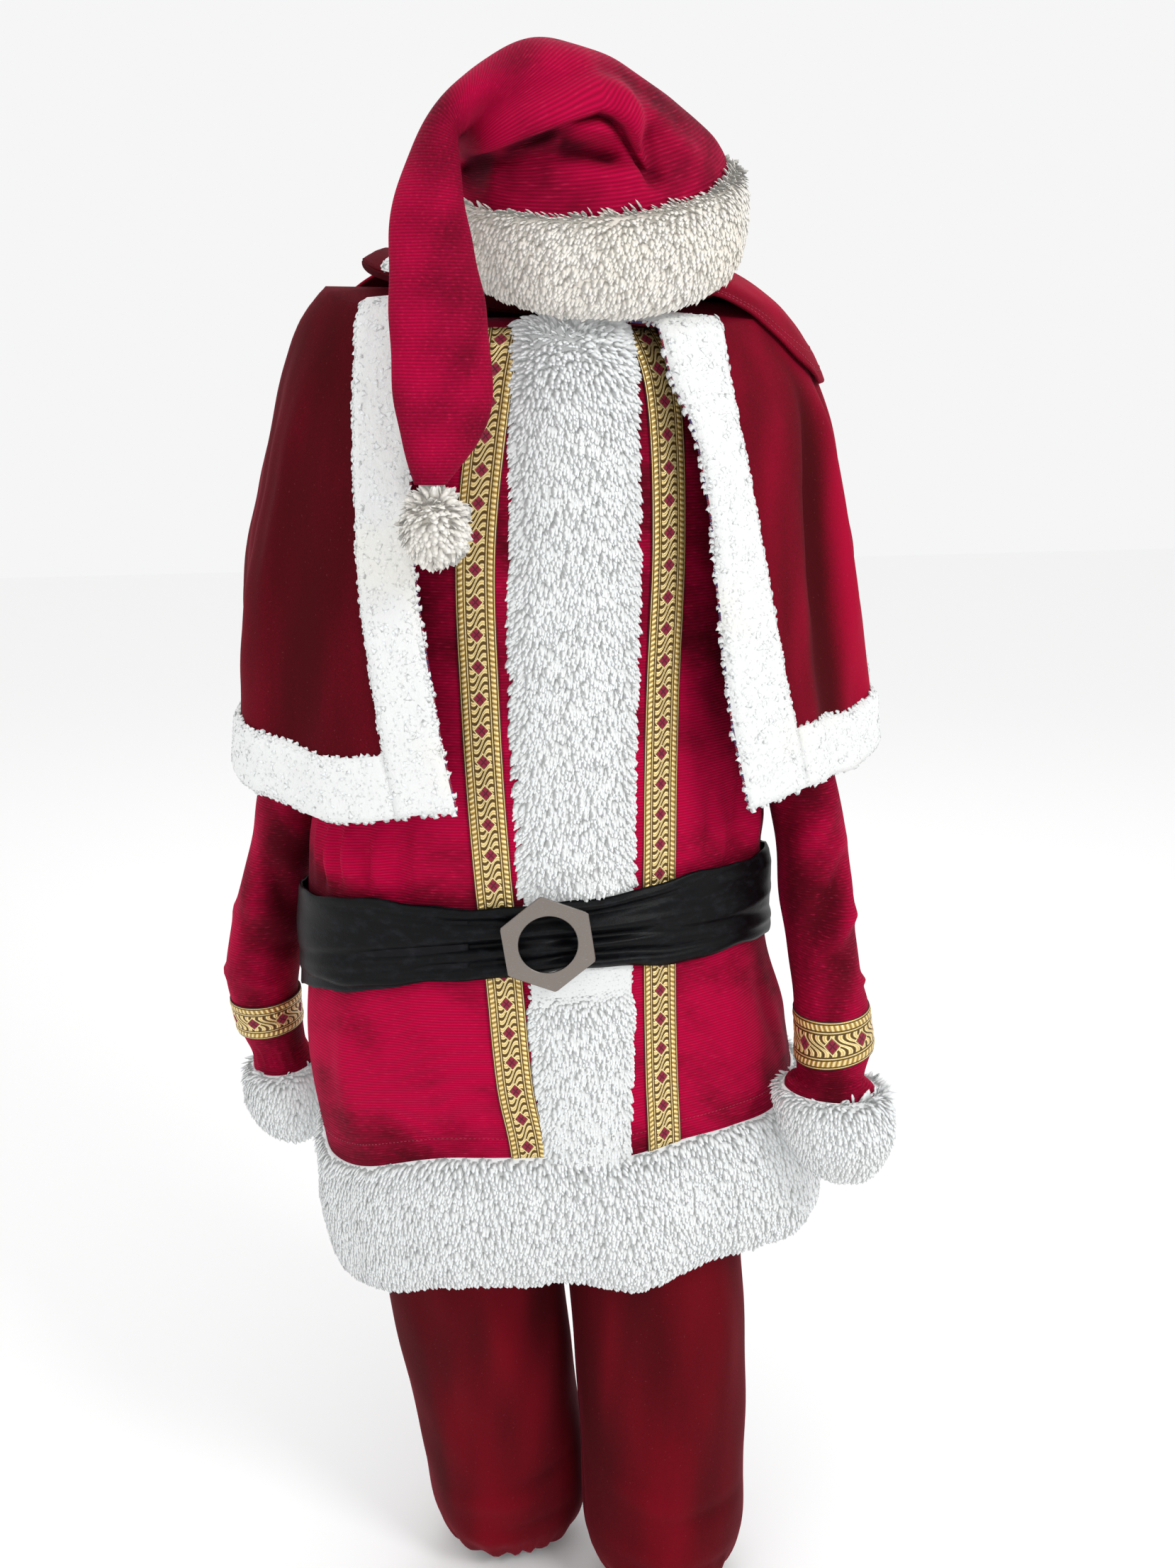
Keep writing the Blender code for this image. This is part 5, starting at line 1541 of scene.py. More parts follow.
SLEEVE_LEFT = (
    (182, -52, 184, -222, 4, 66), (212, -70, 187, -230, 4, 62), (230, -112, 189, -244, 0, 58),
    (240, -185, 191, -272, -12, 54), (252, -285, 196, -325, -28, 51), (270, -414, 206, -425, -46, 49),
    (278, -480, 212, -485, -64, 46), (280, -545, 213, -545, -88, 43), (280, -598, 212, -588, -110, 41),
    (284, -626, 216, -634, -124, 39), (286, -664, 215, -680, -135, 39), (277, -694, 213, -694, -141, 34),
    (288, -708, 200, -700, -146, 37), (292, -750, 212, -745, -149, 38), (278, -784, 236, -784, -150, 29))
SLEEVE_RIGHT = (
    (182, -52, 184, -222, 4, 66), (208, -70, 187, -230, 10, 62), (224, -112, 189, -244, 18, 58),
    (234, -185, 190, -272, 30, 54), (246, -285, 194, -325, 48, 47), (270, -414, 209, -425, 68, 42),
    (288, -500, 222, -500, 84, 41), (307, -570, 234, -565, 89, 41), (317, -622, 242, -615, 89, 41),
    (315, -662, 246, -655, 92, 41), (309, -698, 245, -690, 95, 40), (298, -722, 244, -716, 96, 34),
    (296, -742, 236, -737, 98, 36), (292, -782, 230, -782, 98, 36), (274, -812, 238, -812, 98, 28))
# creases of a sleeve: heights here are minus a twentieth of the row number
SLEEVE_CREASES = listed(Crease, (
    (-0.6, -0.3, -2.5, -0.365, 0.011, -0.0095), (-0.5, -0.325, -2.4, -0.392, 0.01, 0.0075),
    (-0.7, -0.255, -2.6, -0.3, 0.011, 0.007), (0.9, -0.3, 2.4, -0.35, 0.011, -0.008),
    (-2.6, -0.215, -0.9, -0.245, 0.008, 0.0045), (-2.4, -0.25, -0.7, -0.272, 0.008, -0.0045),
    (-1.9, -0.29, -0.4, -0.3, 0.007, 0.004), (-2.7, -0.32, -1.2, -0.335, 0.007, -0.0042),
    (-1.6, -0.345, 0.0, -0.35, 0.007, 0.0045), (-2.2, -0.375, -0.8, -0.395, 0.007, -0.004),
    (-1.1, -0.405, 0.3, -0.415, 0.006, 0.0035), (0.6, -0.23, 2.3, -0.262, 0.009, 0.0045),
    (0.9, -0.285, 2.6, -0.3, 0.009, -0.0045), (0.3, -0.33, 1.9, -0.35, 0.008, 0.0045),
    (1.2, -0.37, 2.7, -0.385, 0.008, -0.0042), (0.8, -0.41, 2.1, -0.425, 0.007, 0.0036)))


# ---- cape
class CapeForm(Form):
    """The cape, whose hem rises and falls round the shoulders."""

    table = Table((
        (30, 3, 96, 86, 88, -88, -72, 52, 80), (58, 3, 136, 96, 104, -127, -106, 62, 106),
        (48, 4, 168, 104, 120, -151, -104, 71, 130), (18, 6, 207, 113, 134, -170, -115, 78, 138),
        (-22, 9, 235, 127, 146, -176, -123, 86, 139), (-80, 9, 254, 142, 156, -180, -134, 100, 143),
        (-150, 6, 267, 152, 164, -182, -139, 113, 155), (-220, 5, 281, 160, 172, -182, -137, 120, 170),
        (-290, 6, 289, 167, 180, -175, -129, 128, 186), (-350, 8, 295, 173, 186, -168, -121, 138, 199),
        (-406, 10, 301, 179, 190, -160, -111, 150, 211)), MM)
    dips = (0.032, 0.02, 0.01)  # fall of the neckline in front, behind and over the wearer's left shoulder
    folds = listed(Fold, (
        (-1.3, 0.22, 0.006, -0.02, -0.36, -0.8), (-1.0, 0.18, -0.006, -0.06, -0.36, -0.8),
        (0.92, 0.14, -0.01, -0.04, -0.3, -0.8), (1.22, 0.15, 0.012, -0.04, -0.34, -0.8),
        (1.5, 0.14, -0.016, -0.06, -0.34, -0.8), (1.76, 0.22, 0.028, -0.04, -0.3, -0.8),
        (2.1, 0.2, -0.01, -0.06, -0.34, -0.8), (2.4, 0.22, 0.01, -0.04, -0.34, -0.8),
        (2.85, 0.22, -0.01, -0.06, -0.34, -0.8), (-2.98, 0.2, 0.01, -0.04, -0.34, -0.8),
        (-2.5, 0.22, -0.01, -0.06, -0.34, -0.8), (-2.02, 0.22, 0.009, -0.04, -0.34, -0.8),
        (-1.62, 0.2, -0.006, -0.06, -0.34, -0.8)))
    lifts = listed(Lift, ((0.38, 0.4, -0.014), (1.34, 0.32, 0.02), (1.8, 0.28, 0.05), (-0.8, 0.35, -0.012),
             (-1.55, 0.45, 0.018), (2.6, 0.4, -0.009)))
    creases = listed(Crease, (
        (0.98, -0.02, 0.94, -0.3, 0.013, -0.011), (1.1, -0.04, 1.1, -0.34, 0.014, 0.013),
        (1.24, -0.03, 1.3, -0.35, 0.013, -0.015), (1.4, -0.06, 1.44, -0.36, 0.014, 0.011),
        (1.62, -0.05, 1.64, -0.36, 0.013, -0.01),
        (-1.14, -0.03, -1.16, -0.3, 0.014, 0.004), (-1.42, -0.02, -1.46, -0.34, 0.016, -0.005),
        (2.1, -0.05, 2.16, -0.34, 0.016, -0.005), (2.62, -0.06, 2.66, -0.36, 0.018, 0.005),
        (3.1, -0.05, 3.12, -0.35, 0.018, -0.005), (-2.76, -0.06, -2.7, -0.36, 0.018, 0.005),
        (-2.24, -0.05, -2.22, -0.35, 0.018, -0.005), (-1.8, -0.06, -1.78, -0.34, 0.016, 0.005)))

    def at(self, angle: Array, row: Array) -> Array:
        """Read the cape's points."""
        z, middle, half, front, back, *_ = self.table.at(row)
        x, y = oval(angle, half, front, back)
        out = folds_at(self.folds, angle, z) + creases_at(self.creases, angle, z, 0.22)
        swell = 1.0 + out / np.hypot(x, y)
        lift = lifts_at(self.lifts, angle) * smooth(-z, 0.05, 0.406)
        ways = (np.cos(angle), -np.cos(angle), np.sin(angle))
        dip = sum(d * np.maximum(way, 0.0) for d, way in zip(self.dips, ways)) * smooth(z, -0.12, 0.0)
        return np.stack([middle + x * swell, y * swell, z + lift - dip], axis=-1)


@dataclass
class Cape:
    """The shoulder cape with its turned-down collar and its borders of short curls."""

    tools: Tools
    cloth: float = 0.0022
    border_columns: int = 11
    middle_columns: int = 183
    border: float = 0.0052
    form: CapeForm = field(default_factory=CapeForm)
    curls: Pile = field(default_factory=lambda: Pile(SHERPA, "sherpa", 0.0031, 0.0052, 0.0034, 0.008, 0.45, 0.7,
                                                     (0.0, 0.0, -0.1), 0.5))

    def sheet(self, rows: Array) -> Cloth:
        """Lay the whole cape, its columns running from its left edge round the back to its right one."""
        columns = self.form.table.at(rows)
        outer_right, edge_right, edge_left, outer_left = (self.form.angle_of_x(rows, c) for c in columns[-4:])
        outer_left, edge_left = outer_left - 2.0 * math.pi, edge_left - 2.0 * math.pi
        b, m = np.linspace(0.0, 1.0, self.border_columns)[None, :], np.linspace(0.0, 1.0, self.middle_columns)[None, :]
        left = edge_left[:, None] + (outer_left - edge_left)[:, None] * b
        back = outer_left[:, None] + (outer_right - outer_left)[:, None] * m
        right = outer_right[:, None] + (edge_right - outer_right)[:, None] * b
        self.angles = np.concatenate([left[:, :-1], back, right[:, 1:]], axis=1)
        return self.form.lay(rows, self.angles)

    def build(self) -> None:
        """Make the cape's panels, borders, collar and small fittings."""
        table = self.form.table
        rows = np.concatenate([np.linspace(0.0, 2.0, 22)[:-1], table.place_of(np.linspace(0.048, -0.406, 84))])
        cape = self.sheet(rows)
        cape = cape.moved(ripple(cape.points, 43, 0.15, 0.0016))
        last = cape.points.shape[1] - 1
        share = 6.0 / 26.0
        seam_left = self.border_columns - 1 + round(share * (self.middle_columns - 1))
        seam_right = last - (self.border_columns - 1) - round(share * (self.middle_columns - 1))
        cuts = (("cape_front_left", slice(0, seam_left + 1)), ("cape_back", slice(seam_left, seam_right + 1)),
                ("cape_front_right", slice(seam_right, last + 1)))
        for name, cols in cuts:
            cloth = cape.cut(slice(None), cols)
            painted_light = self.painted_light(cloth, self.angles[:, cols])
            piece = show(cloth.shell(name + "_velvet", -self.cloth, 0.0, painted_light), CAPE_VELVET, "velvet_cape", name)
            declare(piece, cloth, Held.DRAPED)
        b = self.border_columns - 1
        hem_row = int(np.argmin(np.abs(rows - 9.0)))
        self.build_border("left", cape.cut(slice(None), slice(0, b + 1)), "cape_border_left", 61)
        self.build_border("right", cape.cut(slice(None), slice(last - b, last + 1)), "cape_border_right", 62)
        self.build_border("hem", cape.cut(slice(hem_row, None), slice(b, last - b + 1)), "cape_border_hem", 63)
        self.build_collar(cape, rows, seam_right, b)
        self.build_edges(cape, b, last, hem_row)

    def painted_light(self, cloth: Cloth, angle: Array) -> Array:
        """Painted light and shade on the velvet: painted light on the wearer's left, painted shade on the right,
        painted highlights on its ridges, painted shade in its troughs and painted sheen patches.
        """
        z = cloth.points[..., 2]
        side = smooth(np.sin(angle), -0.3, 0.75)
        ridges = folds_at(self.form.folds, angle, z) + creases_at(self.form.creases, angle, z, 0.22)
        light = 0.12 + 0.3 * side + ridges * (16.0 + 26.0 * side) + ripple(cloth.points * UPRIGHT, 53, 0.08, 0.1)
        return np.clip(light, 0.0, 1.0)

    def build_border(self, word: str, cloth: Cloth, node: str, seed: int) -> None:
        """One border of short curls."""
        rows, cols = cloth.points.shape[:2]
        edge = np.minimum(hill(np.linspace(-1.0, 1.0, rows), 1.06)[:, None] * 6.0,
                          hill(np.linspace(-1.0, 1.0, cols), 1.06)[None, :] * 6.0)
        swell = self.border * np.clip(edge, 0.0, 1.0) ** 0.6 + ripple(cloth.points, seed, 0.045, 0.0006)
        swell = np.maximum(swell, 0.0012)
        backing = cloth.shell(f"cape_border_{word}_backing", LAYER, LAYER + 0.0006 + swell)
        show(backing, SHERPA, "sherpa", node)
        pile = replace(self.curls, seed=seed)
        locks = self.tools.furrier.locks(f"cape_border_{word}_curls", cloth.moved(LAYER - 0.0014 + swell), pile,
                                         pile.reach, True, True)
        declare(backing, cloth, Held.DRAPED)

    def build_collar(self, cape: Cloth, rows: Array, seam_right: int, border: int) -> None:
        """The flat collar turned down over the cape's neck, with two lines of topstitching."""
        count, middle = 30, np.arange(border, seam_right + 1)
        angles = np.stack([np.interp(middle, np.arange(cape.points.shape[1]), line) for line in self.angles])
        share = np.linspace(0.0, 1.0, count)[:, None]
        front = smooth(np.abs(angles[0] - angles[0, 0]), 0.02, 0.62)[None, :]
        row = 0.9 + share * (1.15 + 2.35 * front)
        across = np.stack([np.interp(row[:, c], rows, angles[:, c]) for c in range(len(middle))], axis=1)
        cloth = self.form.grid(row, across)
        cloth = cloth.moved(ripple(cloth.points, 43, 0.15, 0.0016) + ripple(cloth.points, 47, 0.05, 0.001) * share)
        lift = 0.003 * hill(share - 0.55, 0.5) + 0.0018 * smooth(share, 0.7, 1.0) + 0.0014
        lift = lift * np.ones((1, cloth.points.shape[1]))
        # painted light along the middle of the collar's roll
        painted_light = 0.45 + 0.35 * hill(share - 0.35, 0.4) * np.ones((1, len(middle)))
        piece = show(cloth.shell("cape_collar_velvet", lift, lift + 0.0026, painted_light), CAPE_VELVET, "velvet_cape",
                     "cape_collar")
        declare(piece, cloth, Held.DRAPED)
        lines = []
        for back in (2, 5):
            r = count - 1 - back
            lines.append(cloth.points[r] + cloth.outward[r] * (lift[r, 0] + 0.0028))
        self.tools.needle.sew("cape_collar_stitches", lines, RED_THREAD, "velvet_cape", 0.004, 0.0029, 0.0007)

    def build_edges(self, cape: Cloth, border: int, last: int, hem_row: int) -> None:
        """The overlocked front edges, and the wire hook and its eye at the neck."""
        lines = []
        for column in (0, last):
            path = cape.points[4:, column] + cape.outward[4:, column] * 0.001
            lines.append(np.stack([np.interp(np.linspace(0, len(path) - 1, 400), np.arange(len(path)), path[:, k])
                                   for k in range(3)], axis=-1))
        self.tools.needle.sew("cape_edge_overlock", lines, OVERLOCK, "velvet_cape", 0.0016, 0.0052, 0.0013, 0.9)
        hook = cape.points[6, 0] + cape.outward[6, 0] * 0.006
        wires = []
        for side, z in ((1.0, 0.0), (-1.0, -0.004)):
            turn_round = np.linspace(0.4, 5.6, 26)
            loop = np.stack([np.cos(turn_round) * 0.0042 * side, np.zeros(26) - 0.001, np.sin(turn_round) * 0.0034],
                            axis=-1)
            wires.append(hook + np.array([-0.004 + 0.006 * side, -0.002, z]) + loop)
        self.tools.needle.sew("cape_hook_and_eye", wires, WIRE, "nickel", 0.0006, 0.0011, 0.0011)


# ---- hat
class HatForm(Form):
    """The hat, fanned over a fold on the wearer's right and hanging down as a tail."""

    table = Table((
        (-0.084, 0.059, 0.152, 0.065, -0.014, 0.106, 0.104, 0.56), (-0.086, 0.082, 0.158, 0.098, -0.014, 0.108, 0.106, 0.5),
        (-0.086, 0.109, 0.158, 0.137, -0.014, 0.106, 0.104, 0.42), (-0.084, 0.124, 0.147, 0.156, -0.016, 0.098, 0.1, 0.36),
        (-0.082, 0.134, 0.128, 0.171, -0.02, 0.086, 0.096, 0.28), (-0.082, 0.134, 0.106, 0.182, -0.026, 0.104, 0.088, 0.16),
        (-0.082, 0.136, 0.076, 0.198, -0.03, 0.1, 0.082, 0.08), (-0.083, 0.138, 0.03, 0.214, -0.036, 0.09, 0.074, 0.0),
        (-0.084, 0.139, -0.018, 0.22, -0.044, 0.078, 0.064, 0.0), (-0.086, 0.139, -0.062, 0.2, -0.058, 0.062, 0.05, 0.0),
        (-0.088, 0.136, -0.098, 0.171, -0.078, 0.044, 0.036, 0.0), (-0.089, 0.124, -0.125, 0.128, -0.098, 0.028, 0.024, 0.0),
        (-0.087, 0.07, -0.147, 0.07, -0.128, 0.021, 0.018, 0.0), (-0.078, 0.002, -0.152, 0.002, -0.156, 0.019, 0.017, 0.0),
        (-0.076, -0.06, -0.154, -0.06, -0.176, 0.018, 0.016, 0.0), (-0.09, -0.098, -0.149, -0.098, -0.188, 0.017, 0.015, 0.0),
        (-0.116, -0.13, -0.14, -0.13, -0.192, 0.01, 0.009, 0.0)))
    level = 0.03
    lip = ((-0.12, 0.119), (-0.0975, 0.1253), (-0.0704, 0.1318), (-0.0334, 0.1428), (-0.0099, 0.1513),
           (0.0039, 0.1559), (0.02, 0.1625), (0.03, 0.16), (0.0421, 0.1519), (0.0527, 0.139),
           (0.066, 0.118))
    strokes = listed(Crease, (
        (-0.01, 0.144, 0.054, 0.13, 0.008, 0.012), (-0.003, 0.133, 0.033, 0.124, 0.007, -0.012),
        (-0.01, 0.115, 0.056, 0.109, 0.009, 0.006), (0.062, 0.135, 0.07, 0.112, 0.009, -0.01),
        (-0.056, 0.125, -0.064, 0.093, 0.008, 0.008), (-0.074, 0.12, -0.08, 0.09, 0.01, -0.016),
        (-0.044, 0.134, -0.02, 0.144, 0.008, -0.007), (0.045, 0.17, 0.105, 0.135, 0.012, 0.006),
        (0.03, 0.185, 0.095, 0.16, 0.011, -0.004), (-0.09, 0.16, 0.01, 0.195, 0.014, 0.005),
        (-0.06, 0.152, 0.02, 0.182, 0.011, -0.004)))

    def at(self, angle: Array, row: Array) -> Array:
        """Read the hat's points, its front pressed into the overhanging fold and the pinches under it."""
        plain = self.plain(angle, row)
        x, z = plain[..., 0], plain[..., 2]
        ahead = smooth(-np.sin(angle), 0.1, 0.55) * smooth(np.asarray(row, dtype=float), 1.9, 3.2)
        ahead = ahead * (1.0 - smooth(np.asarray(row, dtype=float), 9.0, 10.5))
        ahead = ahead * smooth(x, -0.112, -0.09)
        over = z - np.interp(x, *np.array(self.lip).T)
        within = 1.0 - smooth(x, 0.045, 0.085)
        roll = 0.0175 * np.exp(-(((over - 0.009) / 0.014) ** 2)) - 0.015 * np.exp(-(((over + 0.009) / 0.008) ** 2))
        out = roll * within + strokes_at(self.strokes, x, z)
        drop = 0.0105 * np.exp(-(((over - 0.004) / 0.0075) ** 2)) * within
        self.pressed = out * ahead
        return plain + np.stack([np.zeros_like(x), -out * ahead, -drop * ahead], axis=-1)

    def grid_of_pressed(self, rows: Array, angles: Array) -> Array:
        """How far the folds move the cloth at each row and angle."""
        row = np.broadcast_to(rows[:, None], (len(rows), len(angles)))
        self.at(np.broadcast_to(angles, row.shape), row)
        return self.pressed

    def plain(self, angle: Array, row: Array) -> Array:
        """Read the hat's points without its folds."""
        inner_x, inner_z, outer_x, outer_z, middle_y, front, back, lean = self.table.at(row)
        reach, deep = np.cos(angle), np.sin(angle)
        y = np.where(deep > 0.0, back, front) * deep
        x = (outer_x + inner_x) / 2.0 + (outer_x - inner_x) / 2.0 * reach
        fall = lean * (np.hypot(y, self.level) - y) / 2.0
        z = (outer_z + inner_z) / 2.0 + (outer_z - inner_z) / 2.0 * reach - fall
        return np.stack([x, middle_y + y, z], axis=-1)


@dataclass
class Hat:
    """The stocking hat: a ribbed crown that falls over to one side, a plush brim and a pom-pom."""

    tools: Tools
    cloth: float = 0.0026
    cells: int = 230
    pompom_centre: tuple[float, float, float] = (-0.126, -0.192, -0.163)
    form: HatForm = field(default_factory=HatForm)

    def build(self) -> None:
        """Make the crown, the brim and the pom-pom."""
        angles = all_round(self.cells)
        down = np.concatenate([np.linspace(16.0, 11.0, 80)[:-1], np.linspace(11.0, 2.0, 140)[:-1],
                               np.linspace(2.0, 0.0, 16)])
        crown = self.form.lay(down, angles, True, True)
        pressed = self.form.grid_of_pressed(down, angles)
        # painted light where the folds push the cloth out, painted shade where they press it in, and painted sheen
        # patches
        painted_light = 0.6 + pressed * 26.0 + ripple(crown.points, 73, 0.07, 0.2)
        crown = crown.moved(ripple(crown.points, 71, 0.11, 0.0018))
        piece = show(crown.shell("hat_crown_cloth", -self.cloth, 0.0, painted_light), HAT_RIB, "hat_rib", "hat_crown")
        declare(piece, crown, Held.DRAPED)
        self.build_brim(angles)
        self.build_pompom()

    def build_brim(self, angles: Array) -> None:
        """The plush brim."""
        rows = np.linspace(2.0, 0.0, 24)
        cloth = self.form.lay(rows, angles, True, True)
        swell, inner = plump(len(rows), 0.0165)
        swell = swell + ripple(cloth.points, 83, 0.05, 0.002) * inner
        backing = cloth.shell("hat_brim_backing", LAYER, 0.001 + swell)
        show(backing, CREAM_PLUSH, "cream_plush", "hat_brim")
        pile = Pile(CREAM_PLUSH, "cream_plush", 0.0032, 0.0054, 0.011, 0.024, 0.5, 0.35, (-0.6, 0.0, -2.6), 0.9, 81)
        locks = self.tools.furrier.locks("hat_brim_locks", cloth.moved(swell + 0.0004), pile, pile.reach)
        declare(backing, cloth, Held.STRETCHED)

    def build_pompom(self) -> None:
        """The shaggy pom-pom: a core, and locks all round it."""
        mesh = bpy.data.meshes.new("hat_pompom_core")
        ball = bmesh.new()
        bmesh.ops.create_icosphere(ball, subdivisions=3, radius=0.0225)
        centre = Vector(self.pompom_centre)
        for corner in ball.verts:
            corner.co = Vector((corner.co.x * 0.88, corner.co.y * 0.9, corner.co.z * 1.1)) + centre
        ball.to_mesh(mesh)
        ball.free()
        mesh.shade_smooth()
        core, ground = placed("hat_pompom_core", mesh), placed("hat_pompom_ground", mesh.copy())
        count = len(mesh.vertices)
        lay = np.tile(np.array([0.0, 0.0, -0.55]), (count, 1))
        pile = Pile(CREAM_PLUSH, "cream_plush", 0.0024, 0.0072, 0.0125, 0.02, 0.55, 0.3, seed=91)
        show(core, CREAM_PLUSH, "cream_plush", "hat_pompom")
        self.tools.furrier.sow("hat_pompom_locks", ground, lay, np.full(count, pile.reach), pile)


# ---- trousers
class LegForm(Form):
    """The front or the back of one leg."""

    table = Table((
        (-0.44, 0.17, 0.095, -0.085, 0.0, 0.085, 0.0, 0.084, 0.095, 0.0),
        (-0.52, 0.18, 0.1, -0.09, 0.0, 0.09, 0.0, 0.09, 0.1, 0.0),
        (-0.62, 0.188, 0.104, -0.094, 0.0, 0.094, 0.0, 0.094, 0.104, 0.0),
        (-0.7, 0.19, 0.104, -0.095, 0.0, 0.096, 0.0, 0.094, 0.1, 0.35),
        (-0.76, 0.19, 0.1, -0.095, 0.004, 0.098, -0.004, 0.094, 0.094, 0.85),
        (-0.81, 0.19, 0.098, -0.094, 0.008, 0.099, -0.008, 0.0925, 0.088, 1.0),
        (-0.9, 0.19, 0.098, -0.087, 0.016, 0.103, -0.018, 0.0925, 0.082, 1.0),
        (-1.0, 0.19, 0.098, -0.076, 0.022, 0.108, -0.03, 0.092, 0.08, 1.0),
        (-1.11, 0.19, 0.098, -0.06, 0.028, 0.11, -0.042, 0.089, 0.08, 1.0),
        (-1.19, 0.19, 0.098, -0.05, 0.031, 0.111, -0.048, 0.087, 0.08, 1.0),
        (-1.25, 0.19, 0.098, -0.044, 0.033, 0.112, -0.052, 0.085, 0.079, 1.0),
        (-1.286, 0.19, 0.098, -0.042, 0.034, 0.113, -0.054, 0.07, 0.066, 1.0),
        (-1.299, 0.19, 0.098, -0.042, 0.034, 0.113, -0.054, 0.054, 0.052, 1.0)))

    def __init__(self, side: float, ahead: float, creases: tuple) -> None:
        """Keep the side (1 the wearer's left), the face (1 the front) and the creases."""
        self.side = side
        self.ahead = ahead
        self.creases = creases

    def at(self, angle: Array, row: Array) -> Array:
        """Read the leg's points; the angle runs from the inner seam to the outer one."""
        z, hip_half, hip_deep, right_x, right_y, left_x, left_y, half, deep, split = self.table.at(row)
        mid_x, mid_y = (left_x, left_y) if self.side > 0.0 else (right_x, right_y)
        side, ahead = self.side, self.ahead
        out = creases_at(self.creases, angle, z, 0.085) * smooth(np.sin(np.clip(angle, 0.0, math.pi)), 0.0, 0.35)
        bend = np.sign(angle) * np.abs(angle)
        hip_x, hip_y = side * hip_half * np.sin(bend / 2.0), -hip_deep * np.cos(bend / 2.0)
        leg_x, leg_y = mid_x - side * half * np.cos(bend), mid_y - (deep + out) * np.sin(bend)
        x, y = hip_x + (leg_x - hip_x) * split, hip_y + (leg_y - hip_y) * split
        middle = mid_y * split
        return np.stack([x, middle + (y - middle) * ahead, z + np.zeros_like(x)], axis=-1)


def form_angles(angles: Array, turned: bool) -> Array:
    """The angles of a half leg's columns, which run back where the sheet is turned."""
    return (angles[::-1] if turned else angles)[None, :]


@dataclass
class Trousers:
    """The velvet trousers, a front and a back for each leg, with a waistband under the jacket."""

    tools: Tools
    cloth: float = 0.0022
    right_creases: tuple = listed(Crease, (
        (0.5, -1.17, 1.7, -1.2, 0.01, -0.005), (1.2, -1.205, 2.6, -1.215, 0.01, 0.005),
        (0.6, -1.235, 1.9, -1.25, 0.009, -0.0045), (1.5, -1.262, 2.6, -1.258, 0.009, 0.0045),
        (1.6, -0.88, 1.3, -1.12, 0.016, 0.005), (0.8, -0.9, 0.9, -1.08, 0.016, -0.0045),
        (2.3, -0.9, 2.1, -1.14, 0.015, -0.004)))
    left_creases: tuple = listed(Crease, (
        (0.5, -1.15, 1.6, -1.185, 0.01, 0.005), (1.3, -1.195, 2.7, -1.19, 0.01, -0.005),
        (0.4, -1.225, 1.8, -1.24, 0.009, 0.0045), (1.4, -1.256, 2.6, -1.262, 0.009, -0.0045),
        (1.4, -0.86, 1.2, -1.1, 0.016, -0.005), (0.8, -0.88, 0.7, -1.1, 0.016, 0.0045),
        (2.2, -0.88, 2.3, -1.12, 0.016, 0.0045)))

    def build(self) -> None:
        """Make the four halves and their waistbands."""
        down = np.concatenate([LegForm.table.place_of(np.linspace(-0.44, -1.286, 120))[:-1], np.linspace(11.0, 12.0, 12)])
        for word, side, creases in (("right", -1.0, self.right_creases), ("left", 1.0, self.left_creases)):
            for face, ahead in (("front", 1.0), ("back", -1.0)):
                form = LegForm(side, ahead, creases)
                angles = np.linspace(0.0, math.pi, 46)
                turned = side * ahead < 0.0
                cloth = form.lay(down, angles[::-1] if turned else angles, False, turned)
                cloth = cloth.moved(self.moving(cloth))
                name = f"trouser_{face}_{word}"
                across = np.linspace(-1.0, 1.0, 46)[None, :]
                # painted light down the middle of each half, painted shade towards its seams, painted highlights and
                # shade on the creases, and painted sheen patches
                painted_light = 0.22 + 0.3 * hill(across, 0.9) + ripple(cloth.points * UPRIGHT, 87, 0.07, 0.13)
                painted_light = painted_light + creases_at(creases, form_angles(angles, turned), cloth.points[..., 2], 0.085) * 22.0
                piece = show(cloth.shell(name + "_velvet", -self.cloth, 0.0, painted_light), TROUSER_VELVET, "velvet_trouser",
                             name)
                declare(piece, cloth, Held.HUNG)
                band = cloth.cut(slice(0, 12))
                name = f"waistband_{face}_{word}"
                piece = show(band.shell(name + "_velvet", LAYER, LAYER + self.cloth), TROUSER_VELVET,
                             "velvet_trouser", name)
                declare(piece, band, Held.GATHERED)

    def moving(self, cloth: Cloth) -> Array:
        """Slow waves, and small gathers where the ankle's elastic draws the cloth in."""
        z = cloth.points[..., 2]
        cols = np.linspace(0.0, 1.0, cloth.points.shape[1])
        seams = (smooth(cols, 0.0, 0.08) * smooth(1.0 - cols, 0.0, 0.08))[None, :]
        gather = np.sin(cols * 60.0 + np.sin(cols * 11.0) * 2.0)[None, :] * 0.0022 * smooth(-z, 1.25, 1.292)
        return (ripple(cloth.points, 83, 0.17, 0.0026) * smooth(-z, 0.6, 0.8) + gather) * seams


